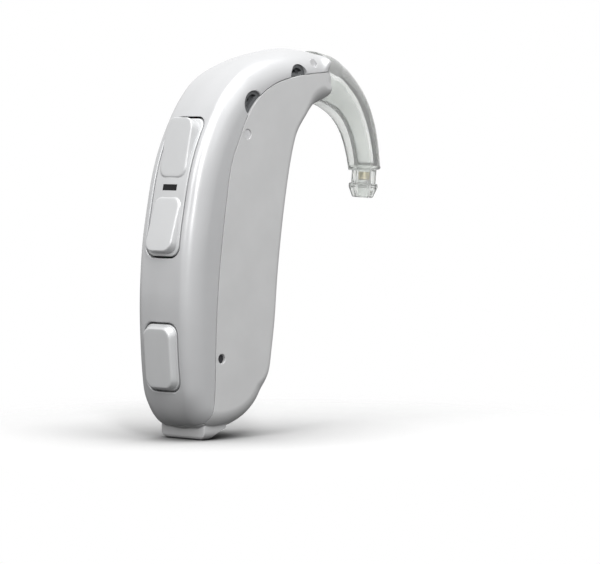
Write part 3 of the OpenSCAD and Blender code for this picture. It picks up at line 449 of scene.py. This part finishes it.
finishes = {slot: mouldedPlastic(*row) for slot, row in finishRows.items()}


def clearHookFinish():
    # clear polymer with a faint green cast and soft flow marks
    material, nodes, links, shader, place = newFinish("hookClear")
    flow = addNoise(nodes, links, place, 320.0, 2.0)
    addRamp(nodes, links, shader, flow, (0.87, 0.89, 0.87), (0.94, 0.955, 0.94))
    addGloss(nodes, links, shader, addNoise(nodes, links, place, 900.0, 3.0), (0.0, 1.0), (0.08, 0.16))
    addBump(nodes, links, shader, flow, 0.05, 0.0001)
    shader.inputs["Transmission Weight"].default_value = 0.85
    shader.inputs["IOR"].default_value = 1.45
    return material


finishes["clear_hook"] = clearHookFinish()
print("finishes made,", len(finishes))


def dress(piece, slot, body, node):
    piece.data.materials.clear()
    piece.data.materials.append(finishes[slot])
    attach(piece, body)
    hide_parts(node)


# places on the case, the same shares as in the part's source
rockerMid, buttonMid = heightAt(0.634), heightAt(0.195)
pinPlaces = {
    "hook": (reachAt(1.571), heightAt(0.959)),
    "upper": (reachAt(0.646), heightAt(0.771)),
    "lower": (reachAt(0.362), heightAt(0.189)),
}
portPlaces = {"rear": (reachAt(0.714), heightAt(0.850)), "front": (reachAt(1.310), heightAt(0.925))}
hingeIn = 1.3
hingePlace = (reachAt(1) - hingeIn, heightAt(0.338))
# sizes that the shells' openings and the buttons share
rockerSize = {"w": 4.8, "l": 15.0, "corner": 1.2, "padW": 3.8, "rise": 1.35, "lowRise": 0.9, "valley": 1.7,
              "plate": 1.0, "margin": 0.25, "fillet": 0.15, "slack": 0.06, "window": (2.11, 3.0, 0.69),
              "pivotIn": 2.0, "earAt": 1.3, "earR": 0.75, "earHalf": 0.3, "nubShare": 0.37, "nub": (0.5, 1.73)}
buttonSize = {"w": 4.8, "l": 7.3, "corner": 1.2, "rise": 0.7, "step": 0.45, "footW": 4.675, "fillet": 0.14,
              "flangeIn": 1.0, "flangeT": 0.45, "flangeW": 0.3, "slack": 0.07, "padMargin": 0.25, "nubEnd": 1.8}
plateFillet, nubR = 0.1, 0.45
shellDetail = {"buttonGap": 0.14, "lip": 0.13, "portLip": 0.12, "pinLip": 0.09, "groove": 0.085,
               "pinR": 0.52, "rearR": 1.45, "frontR": 1.3, "hingeR": 1.45, "lipOut": 1.2, "lipIn": 3.2,
               "rodHalf": 6, "seatGap": 0.02, "hookBlock": (10.6, 4)}

# hook rows, from root to tip: place, width and height
hook = {"rootH": 5.5, "rootW": 7.6, "tip": 3.6, "reach": 8.75, "drop": 10.65, "neck": 2.86, "neckL": 1.75,
        "barb": 3.4, "barbEnd": 2.4, "land": 0.4, "cone": 1.15, "lean": 6.0, "bore": 1.3,
        "tongueL": 3.6, "tongueW": 5.6, "tongueH": 3.8, "spigot": 2.04, "spigotGrip": 2.6,
        "sides": 96, "flats": 12, "rowSteps": 10}
rootPlace = np.array([reachAt(1.83), heightAt(0.929)])
tipPlace = np.array([reachAt(2) + hook["reach"], rootPlace[1] - hook["drop"]])
hookShares = [
    (0.000, 0.000, 0.00), (0.170, 0.026, 0.00), (0.313, 0.073, 0.13), (0.427, 0.120, 0.28),
    (0.550, 0.190, 0.44), (0.666, 0.275, 0.58), (0.766, 0.378, 0.70), (0.852, 0.505, 0.81),
    (0.919, 0.655, 0.89), (0.971, 0.838, 0.96), (1.000, 1.000, 1.00),
]
hookRows = [(rootPlace[0] + s * (tipPlace[0] - rootPlace[0]), rootPlace[1] - d * (rootPlace[1] - tipPlace[1]),
             hook["rootW"] + t ** 0.75 * (hook["tip"] - hook["rootW"]),
             0.985 * (hook["rootH"] + t * (hook["tip"] - hook["rootH"]))) for s, d, t in hookShares]


def squaredOval(w, h, square, sides):
    out = []
    for k in range(sides):
        a = 2 * math.pi * k / sides
        c, s = math.cos(a), math.sin(a)
        out.append((w / 2 * math.copysign(abs(c) ** (2 / square), c),
                    h / 2 * math.copysign(abs(s) ** (2 / square), s)))
    return out


def flatRing(r, sides, flats):
    # a many-sided neck: points that lie on flats
    out = []
    for k in range(sides):
        a = 2 * math.pi * k / sides
        half = math.pi / flats
        off = (a % (2 * half)) - half
        rr = r * math.cos(half) / math.cos(off)
        out.append((rr * math.cos(a), rr * math.sin(a)))
    return out


def setRing(section, at, up, forward=None, shift=0.0):
    at = np.asarray(at, float) + (np.asarray(forward) * shift if forward is not None else 0)
    return [(x, at[0] + s * up[0], at[1] + s * up[1]) for x, s in section]


def makeHook():
    line = smoothLine(hookRows, hook["rowSteps"])
    path, n = line[:, :2], len(line)
    ups = sideNormals(path, False)
    sides = hook["sides"]
    rings = []
    tongueBack = np.array([rootPlace[0] - hook["tongueL"], heightAt(0.915)])
    level = np.array([0.0, 1.0])
    for f, grow in ((0.0, -0.15), (0.03, -0.03), (0.06, 0.0), (0.55, 0.0), (0.97, 0.0)):
        section = squaredOval(hook["tongueW"] + 2 * grow, hook["tongueH"] + 2 * grow, 2.5, sides)
        rings.append(setRing(section, tongueBack + (f * hook["tongueL"], 0), level))
    for grow, along in ((-0.12, 0.0), (-0.04, 0.035), (0.0, 0.12)):
        run = np.array([ups[0][1], -ups[0][0]])
        section = squaredOval(hook["rootW"] + 2 * grow, hook["rootH"] + 2 * grow, 2.5, sides)
        rings.append(setRing(section, path[0], ups[0], run, along))
    for i in range(2, n - 1):
        t = i / (n - 1)
        rings.append(setRing(squaredOval(line[i][2], line[i][3], 2.5 - 0.3 * t, sides), path[i], ups[i]))
    lean = math.radians(180 - hook["lean"])
    down = np.array([-math.sin(lean), math.cos(lean)])
    upTip = np.array([-down[1], down[0]])
    if np.dot(upTip, ups[-1]) < 0:
        upTip = -upTip
    fillet = 0.28
    for t in np.linspace(0, math.pi / 2, 6):
        grow = -fillet * (1 - math.cos(t))
        rings.append(setRing(squaredOval(hook["tip"] + 2 * grow, hook["tip"] + 2 * grow, 2.2, sides),
                             tipPlace, upTip, down, -fillet + fillet * math.sin(t)))
    neckR, barbR, endR = hook["neck"] / 2, hook["barb"] / 2, hook["barbEnd"] / 2
    top = hook["neckL"]
    coneTop = top + hook["land"]
    end = coneTop + hook["cone"]
    # neck, barb and nozzle end
    for r, z in ((neckR + 0.03, 0.01), (neckR, 0.1), (neckR, top - 0.04), (neckR + 0.03, top - 0.01),
                 (barbR - 0.05, top), (barbR, top + 0.05), (barbR, coneTop - 0.04), (barbR - 0.02, coneTop + 0.03),
                 (endR + 0.03, end - 0.05), (endR - 0.04, end)):
        rings.append(setRing(flatRing(r, sides, hook["flats"]), tipPlace, upTip, down, z))
    # back up through the sound bore
    boreR, wide = hook["bore"] / 2, hook["bore"] / 2 + 0.1
    for r, z in ((boreR + 0.05, end), (boreR, end - 0.08), (boreR, top), (boreR, 0.0)):
        rings.append(setRing(squaredOval(2 * r, 2 * r, 2.0, sides), tipPlace, upTip, down, z))
    for i in range(n - 4, 12, -3):
        rings.append(setRing(squaredOval(2 * wide, 2 * wide, 2.0, sides), path[i], ups[i]))
    spigot = np.array([tongueBack[0], heightAt(0.902)])
    spigotR, grip = hook["spigot"] / 2, hook["spigotGrip"]
    for r, y in ((wide, grip + 0.3), (wide, grip), (spigotR, grip - 0.02), (spigotR, 0.05), (spigotR + 0.05, 0.0)):
        rings.append(setRing(squaredOval(2 * r, 2 * r, 2.0, sides), spigot + (y, 0), level))
    piece = loftRings("earHookClear", rings, closeRound=True)
    carve(piece, rodPiece("tool", pinPlaces["hook"], shellDetail["pinR"], halfCase))
    softenShade(piece, 24.0)
    dress(piece, "clear_hook", "housing", "ear_hook")


makeHook()
print("ear hook made")

# shells


def seatTool(name, gap):
    line = smoothLine(hookRows, hook["rowSteps"])
    ups = sideNormals(line[:, :2], False)
    run = np.array([ups[0][1], -ups[0][0]])
    rings = [setRing(squaredOval(hook["rootW"] + 2 * gap, hook["rootH"] + 2 * gap, 2.5, hook["sides"]),
                     rootPlace, ups[0], run, z) for z in (-2 * gap, 3.0, hook["reach"])]
    return loftRings(name, rings)


def grooveTool(name, side):
    # a fine vee along the parting line, on one flat side
    line = parting
    ups = sideNormals(line, False)
    g = shellDetail["groove"]
    rings = [[(side * halfCase + x, p[0] + s * u[0], p[1] + s * u[1])
              for x, s in ((g, 0), (0, g), (-g, 0), (0, -g))] for p, u in zip(line, ups)]
    return loftRings(name, rings)


def finishShell(shell):
    # what both shells share: the hook's seat, the groove on each side and the shading
    carve(shell, seatTool("tool", shellDetail["seatGap"]))
    for side in (-1, 1):
        carve(shell, grooveTool("tool", side))
    softenShade(shell)


def makeOuterShell():
    shell = caseBody("outerShellSilver", 0.0, case["edgeSteps"], case["refine"])
    carve(shell, spineSide("tool", 0.0, case["width"] + 2), "INTERSECT")
    carve(shell, caseBody("tool", case["wall"], case["wallSteps"], 1))
    d = shellDetail
    blockW, blockL = d["hookBlock"]
    carve(shell, boxPiece("tool", (0, rootPlace[0] + blockL / 2, heightAt(1)), (blockW, blockL, hook["rootH"])))
    gap = d["buttonGap"]
    for mid, w, l, r in ((rockerMid, rockerSize["w"], rockerSize["l"], rockerSize["corner"]),
                         (buttonMid, buttonSize["w"], buttonSize["l"], buttonSize["corner"])):
        stations = lipStations(d["lip"], d["lipOut"], d["lipIn"])
        carve(shell, loftRings("tool", spineRings(mid, w + 2 * gap, l + 2 * gap, r + gap, stations)))
    carve(shell, rodPiece("tool", portPlaces["rear"], d["rearR"], d["rodHalf"], d["portLip"]))
    carve(shell, rodPiece("tool", portPlaces["front"], d["frontR"], d["rodHalf"], d["portLip"]))
    carve(shell, rodPiece("tool", pinPlaces["hook"], d["pinR"], d["rodHalf"], d["pinLip"]))
    finishShell(shell)
    dress(shell, "silver_shell", "housing", "outer_shell")


def makeInnerShell():
    shell = caseBody("innerShellGrey", 0.0, case["edgeSteps"], case["refine"])
    carve(shell, spineSide("tool", case["gap"], case["width"] + 2))
    carve(shell, caseBody("tool", case["wall"], case["wallSteps"], 1))
    d = shellDetail
    slotW, r = case["width"] - 2 * case["wall"], d["hingeR"]
    carve(shell, boxPiece("tool", (0, reachAt(0.5), hingePlace[1] - 10), (slotW, reachAt(1.5) - reachAt(0), 20)))
    carve(shell, rodPiece("tool", hingePlace, r, slotW / 2))
    carve(shell, boxPiece("tool", (0, hingePlace[0] + r, hingePlace[1] + r / 2), (slotW - 0.001, 2 * r, r)))
    for pin in ("upper", "lower"):
        carve(shell, rodPiece("tool", pinPlaces[pin], d["pinR"], d["rodHalf"], d["pinLip"]))
    finishShell(shell)
    dress(shell, "grey_shell", "housing", "inner_shell")


makeOuterShell()
print("outer shell made")
makeInnerShell()
print("inner shell made")

# buttons


def padPiece(name, z0, z1, rise0, rise1, footW, faceW, corner, fillet, margin):
    # a pad from z0 to z1, its face raised over the spine by rise0 and rise1
    step = (footW - faceW) / 2
    p0, p1 = spineIn(z0, margin), spineIn(z1, margin)
    q0, q1 = spineIn(z0, -rise0), spineIn(z1, -rise1)
    length = float(np.linalg.norm(p1 - p0))
    base = oblongPoints(footW, length, corner)
    rings = []
    # three rings up the wall, then the fillet's
    levels = [(0.0, 0.0), (0.35, 0.0), (0.6, 0.0)]
    levels += [(None, t) for t in np.linspace(0, math.pi / 2, 7)]
    for h, t in levels:
        ring = []
        for x, v in base:
            u = v / length + 0.5
            tall = (1 - u) * (rise0 + margin) + u * (rise1 + margin)
            soft = min(fillet, 0.5 * tall)
            if h is None:
                up = 1 - soft / tall * (1 - math.sin(t))
                inn = step * up + soft * (1 - math.cos(t))
            else:
                up, inn = h * (1 - soft / tall), step * h * (1 - soft / tall)
            sx, sv = (footW / 2 - inn) / (footW / 2), (length / 2 - inn) / (length / 2)
            share = 0.5 + (u - 0.5) * sv
            foot, face = p0 + (p1 - p0) * share, q0 + (q1 - q0) * share
            at = foot + (face - foot) * up
            ring.append((x * sx, at[0], at[1]))
        rings.append(ring)
    # the face: a few rings towards the middle, very slightly crowned
    edge = np.array(rings[-1])
    centre = edge.mean(0)
    normal = np.array([0.0, *(q0 + q1 - p0 - p1)])
    normal /= np.linalg.norm(normal)
    closeShare, bulge = 0.98, 0.03
    for s in (0.9, 0.7, 0.45, 0.2):
        along = 1 - (1 - s) * closeShare
        rings.append(centre + (edge - centre) * np.array([s, along, along]) + normal * bulge * (1 - s * s))
    return loftRings(name, rings)


def spinePlate(name, mid, w, l, r, fillet, deep):
    turn = np.linspace(0, math.pi / 2, 5)
    stations = [(deep, 0.0), (fillet + 0.02, 0.0)]
    stations += [(fillet * (1 - math.sin(t)), -fillet * (1 - math.cos(t))) for t in turn]
    rings = spineRings(mid, w, l, r, stations)
    edge = rings[-1]
    # the face closes in rings down to a thin seam along the middle
    for s in (0.8, 0.55, 0.3, 0.1, 0.0):
        rings.append([(x * s, spineY(z) + crownDrop(x * s), z) for x, y, z in edge])
    return loftRings(name, rings, caps=[0])


def nubPiece(name, z, d0, d1):
    sides, tipLength, tipShare = 32, 0.08, 0.85
    p0, p1 = spineIn(z, d0), spineIn(z, d1)
    run = (p1 - p0) / np.linalg.norm(p1 - p0)
    side = np.array([-run[1], run[0]])
    turn = np.linspace(0, 2 * math.pi, sides, endpoint=False)
    rings = [[(nubR * k * math.cos(a), *(p + nubR * k * math.sin(a) * side)) for a in turn]
             for p, k in ((p0, 1), (p1 - tipLength * run, 1), (p1, tipShare))]
    return loftRings(name, rings)


def makeRocker():
    s = rockerSize
    foot = s["w"] - 2 * s["margin"]
    length = s["l"] - 2 * s["slack"]  # room to tilt
    low, top = rockerMid - length / 2, rockerMid + length / 2
    plate = spinePlate("rockerSilver", rockerMid, s["w"], length, s["corner"], plateFillet, s["plate"])
    window = spineIn(rockerMid, 0)
    tool = boxPiece("tool", (0, 0, 0), s["window"])
    tool.location = (0, window[0] * mm, window[1] * mm)
    tool.rotation_euler = (-spineTurn(rockerMid), 0, 0)
    carve(plate, tool)
    pads = [
        padPiece("tool", rockerMid + s["valley"] / 2, top - s["margin"], 0.05, s["rise"], foot, s["padW"],
                 s["corner"], s["fillet"], s["margin"]),
        padPiece("tool", low + s["margin"], rockerMid - s["valley"] / 2, s["lowRise"], 0.05, foot, s["padW"],
                 s["corner"], s["fillet"], s["margin"]),
    ]
    pivot = spineIn(rockerMid, s["pivotIn"])
    turn = np.linspace(0, 2 * math.pi, 48, endpoint=False)
    r = s["earR"]
    for x in (-s["earAt"], s["earAt"]):
        pads.append(loftRings("tool", [[(x + dx, pivot[0] + r * math.cos(a), pivot[1] + r * math.sin(a))
                                        for a in turn] for dx in (-s["earHalf"], s["earHalf"])]))
    for share in (-s["nubShare"], s["nubShare"]):
        pads.append(nubPiece("tool", rockerMid + s["l"] * share, *s["nub"]))
    joinPieces(plate, pads)
    softenShade(plate, 40.0)
    dress(plate, "silver_button", "rocker", "rocker_button")


def makePushButton():
    s = buttonSize
    length = s["l"] - 2 * s["slack"]
    low, top = buttonMid - length / 2, buttonMid + length / 2
    plate = spinePlate("pushButtonSilver", buttonMid, s["w"], length, s["corner"], plateFillet,
                       s["flangeIn"] + s["flangeT"])
    parts = [
        padPiece("tool", low, top, s["rise"], s["rise"], s["footW"], s["w"] - 2 * s["step"], s["corner"],
                 s["fillet"], s["padMargin"]),
        loftRings("tool", spineRings(buttonMid, s["w"] + 2 * s["flangeW"], s["l"] + 2 * s["flangeW"],
                                     s["corner"] + s["flangeW"],
                                     [(s["flangeIn"], 0.0), (s["flangeIn"] + s["flangeT"], 0.0)])),
        nubPiece("tool", buttonMid, s["flangeIn"], s["nubEnd"]),
    ]
    joinPieces(plate, parts)
    softenShade(plate, 40.0)
    dress(plate, "silver_button", "button", "push_button")


makeRocker()
print("rocker made")
makePushButton()
print("push button made")

# battery drawer with its nail grip
drawer = {
    "skin": 1.0, "w": 6.7, "gripW": 6.6, "knuckle": 1.3, "pinR": 0.43, "rodHalf": 5.0,
    "cradleW": 4.8, "cradleT": 0.5, "cell": 7.94, "cellHalf": 4.0,
}


def gripPiece(name):
    drop = case["drop"]
    y0 = reachAt(0.243)
    profile = [(y0 + 0.30, heightAt(0.02)), (y0, heightAt(0.012)), (y0, drop * 0.55),
               (y0 + drop * 0.06, drop * 0.28), (y0 + drop * 0.20, drop * 0.10),
               (y0 + drop * 0.5, 0), (y0 + drop * 1.1, 0), (y0 + drop * 1.5, drop * 0.22),
               (y0 + drop * 2.0, drop * 0.62), (y0 + drop * 2.6, drop * 0.95), (y0 + drop * 3.4, heightAt(0.006)),
               (y0 + drop * 3.4, heightAt(0.02))]
    profile = smoothLine(profile, 4)
    half, r = drawer["gripW"] / 2, drop
    rings = []
    for a in np.linspace(-1, 1, 61):
        x = half * math.sin(a * math.pi / 2)
        over = max(0.0, abs(x) - (half - r))
        lift = r - math.sqrt(max(0.0, r * r - over * over))
        rings.append([(x, y + 0.12 * (lift / r) ** 2, max(z, lift, 0.0)) for y, z in profile])
    return loftRings(name, rings)


def makeDrawer():
    body = caseBody("drawerGrey", 0.0, case["edgeSteps"], case["refine"])
    carve(body, boxPiece("tool", (0, reachAt(0.5), hingePlace[1] - 15), (drawer["w"], 30, 30)), "INTERSECT")
    inner = outline[:, :2] + drawer["skin"] * outlineIn
    carve(body, prismAcross("tool", smoothLoop(inner, 2), case["width"]))
    carve(body, spineSide("tool", case["gap"], case["width"] + 2))
    cell = (reachAt(0.548), heightAt(0.152))
    ring = rodPiece("ring", cell, drawer["cell"] / 2 + drawer["cradleT"], drawer["cradleW"] / 2)
    carve(ring, boxPiece("tool", (0, cell[0] + 3.16, cell[1]), (drawer["cradleW"] + 0.002, 11.06, 15.8)), "INTERSECT")
    # knuckle, cradle and the two feet that hold the cradle
    for part in (
        rodPiece("tool", hingePlace, drawer["knuckle"], drawer["w"] / 2), ring,
        boxPiece("tool", (0, cell[0] + 4.58, cell[1]), (drawer["cradleW"], 1.0, 2.63)),
        boxPiece("tool", (0, cell[0], cell[1] - 4.74), (drawer["cradleW"], 2.63, 1.42)),
    ):
        carve(body, part, "UNION")
    carve(body, rodPiece("tool", cell, drawer["cell"] / 2, drawer["cellHalf"]))
    carve(body, rodPiece("tool", hingePlace, drawer["pinR"], drawer["rodHalf"]))
    joinPieces(body, [gripPiece("tool")])
    softenShade(body)
    dress(body, "grey_shell", "drawer", "battery_drawer")


makeDrawer()
print("battery drawer made")

# CAD nodes that keep their shape get their own finish
keptNodes = {
    "hook_damper": "mic_gold", "hook_gasket": "rubber_black", "hook_pin": "pin_steel",
    "upper_housing_pin": "pin_steel", "lower_housing_pins": "pin_dark", "status_window": "dark_window",
    "rocker_pivot_pin": "pin_steel", "upper_switch_plunger": "chip_black", "lower_switch_plunger": "chip_black",
    "rocker_switches": "chip_black", "program_plunger": "chip_black", "program_switch": "chip_black",
    "battery_cell": "cell_steel", "drawer_hinge_pin": "pin_steel", "positive_contact": "contact_gold",
    "negative_contact": "contact_gold", "rear_port_liners": "port_grey", "front_port_liners": "port_grey",
    "rear_microphone": "mic_gold", "front_microphone": "mic_gold", "microphone_gaskets": "rubber_black",
    "receiver": "can_steel", "receiver_suspension": "rubber_black", "receiver_tube": "tube_clear",
    "sound_spigot": "can_steel", "chassis_frame": "frame_grey", "amplifier_board": "board_green",
    "sound_processor": "chip_black", "board_capacitors": "ceramic_tan", "status_led": "led_white",
    "telecoil": "coil_copper", "wireless_coil": "coil_copper", "microphone_leads": "lead_red",
    "receiver_leads": "lead_blue",
}
for node, slot in keptNodes.items():
    piece = cadNodes[node]
    for i in range(len(piece.material_slots)):
        piece.material_slots[i].material = finishes[slot]
print("kept nodes dressed,", len(keptNodes))

# floor, lamps and backdrop
studio = {
    "floorHalf": 2.0, "floorDown": 0.00002, "floorTone": 0.62, "floorBounce": 0.16, "paintedShadeReach": 0.022,
    "fadeFrom": 0.018, "fadeTo": 0.052, "worldLight": 0.40, "lampTarget": (0, 0, 0.02),
}
# azimuth, elevation, distance, size and power
lamps = {
    "topSoftbox": (60, 78, 0.36, (0.40, 0.40), 1.65),
    "backSoftbox": (5, 35, 0.45, (0.20, 0.30), 0.62),
    "cornerStrip": (52, 32, 0.45, (0.05, 0.30), 0.95),
    "sideSoftbox": (100, 35, 0.45, (0.25, 0.25), 0.26),
}


def makeFloor():
    mesh = bpy.data.meshes.new("paleFloor")
    half = studio["floorHalf"]
    mesh.from_pydata([(-half, -half, 0), (half, -half, 0), (half, half, 0), (-half, half, 0)], [], [(0, 1, 2, 3)])
    floor = bpy.data.objects.new("paleFloor", mesh)
    bpy.context.scene.collection.objects.link(floor)
    floor.location.z = -studio["floorDown"]
    material = bpy.data.materials.new("paleFloor")
    material.use_nodes = True
    nodes, links = material.node_tree.nodes, material.node_tree.links
    nodes.clear()
    out = nodes.new("ShaderNodeOutputMaterial")
    diffuse = nodes.new("ShaderNodeBsdfDiffuse")
    rays = nodes.new("ShaderNodeLightPath")
    place = nodes.new("ShaderNodeTexCoord")
    length = nodes.new("ShaderNodeVectorMath")
    length.operation = "LENGTH"
    links.new(place.outputs["Object"], length.inputs[0])
    fade = nodes.new("ShaderNodeMapRange")
    fade.interpolation_type = "SMOOTHSTEP"
    fade.inputs["From Min"].default_value = studio["fadeFrom"]
    fade.inputs["From Max"].default_value = studio["fadeTo"]
    links.new(length.outputs["Value"], fade.inputs["Value"])
    clear = nodes.new("ShaderNodeBsdfTransparent")
    mix = nodes.new("ShaderNodeMixShader")
    links.new(diffuse.outputs[0], mix.inputs[1])
    links.new(clear.outputs[0], mix.inputs[2])
    links.new(mix.outputs[0], out.inputs["Surface"])
    # only the camera sees the fade and the pale tone: the object is lit by a plain, darker floor
    faded = nodes.new("ShaderNodeMath")
    faded.operation = "MULTIPLY"
    links.new(fade.outputs["Result"], faded.inputs[0])
    links.new(rays.outputs["Is Camera Ray"], faded.inputs[1])
    links.new(faded.outputs[0], mix.inputs[0])
    tones = nodes.new("ShaderNodeMix")
    tones.data_type = "RGBA"
    # sockets 6 and 7 are the two colours, output 2 is their mix
    for socket, tone in ((6, studio["floorBounce"]), (7, studio["floorTone"])):
        tones.inputs[socket].default_value = (tone, tone, tone, 1)
    links.new(rays.outputs["Is Camera Ray"], tones.inputs[0])
    # painted shade: ambient occlusion darkens the floor's colour in a wide soft patch where the aid stands close to
    # the floor
    soft = nodes.new("ShaderNodeAmbientOcclusion")
    soft.inputs["Distance"].default_value = studio["paintedShadeReach"]
    links.new(tones.outputs[2], soft.inputs["Color"])
    links.new(soft.outputs["Color"], diffuse.inputs["Color"])
    mesh.materials.append(material)


def areaLamp(name, azimuth, elevation, distance, size, power):
    away = awayFrom(azimuth, elevation)
    data = bpy.data.lights.new(name, "AREA")
    data.shape = "RECTANGLE"
    data.size, data.size_y = size
    data.energy = power
    lamp = bpy.data.objects.new(name, data)
    lamp.location = Vector(studio["lampTarget"]) + away * distance
    lamp.rotation_euler = away.to_track_quat("Z", "Y").to_euler()
    bpy.context.scene.collection.objects.link(lamp)


def makeWorld():
    world = bpy.data.worlds.new("paleRoom")
    bpy.context.scene.world = world
    world.use_nodes = True
    nodes, links = world.node_tree.nodes, world.node_tree.links
    nodes.clear()
    out = nodes.new("ShaderNodeOutputWorld")
    mix = nodes.new("ShaderNodeMixShader")
    # the first lights the aid, the second is what the camera and the reflections see
    for socket, strength in ((1, studio["worldLight"]), (2, 1.0)):
        backdrop = nodes.new("ShaderNodeBackground")
        backdrop.inputs["Color"].default_value = (1, 1, 1, 1)
        backdrop.inputs["Strength"].default_value = strength
        links.new(backdrop.outputs[0], mix.inputs[socket])
    rays = nodes.new("ShaderNodeLightPath")
    seen = rays.outputs["Is Camera Ray"]
    for kind in ("Is Glossy Ray", "Is Transmission Ray"):
        either = nodes.new("ShaderNodeMath")
        either.operation = "MAXIMUM"
        links.new(seen, either.inputs[0])
        links.new(rays.outputs[kind], either.inputs[1])
        seen = either.outputs[0]
    links.new(seen, mix.inputs[0])
    links.new(mix.outputs[0], out.inputs["Surface"])


makeFloor()
makeWorld()
for lampName, lampRow in lamps.items():
    areaLamp(lampName, *lampRow)
bpy.context.scene.view_settings.view_transform = "Standard"
print("floor and lamps set")
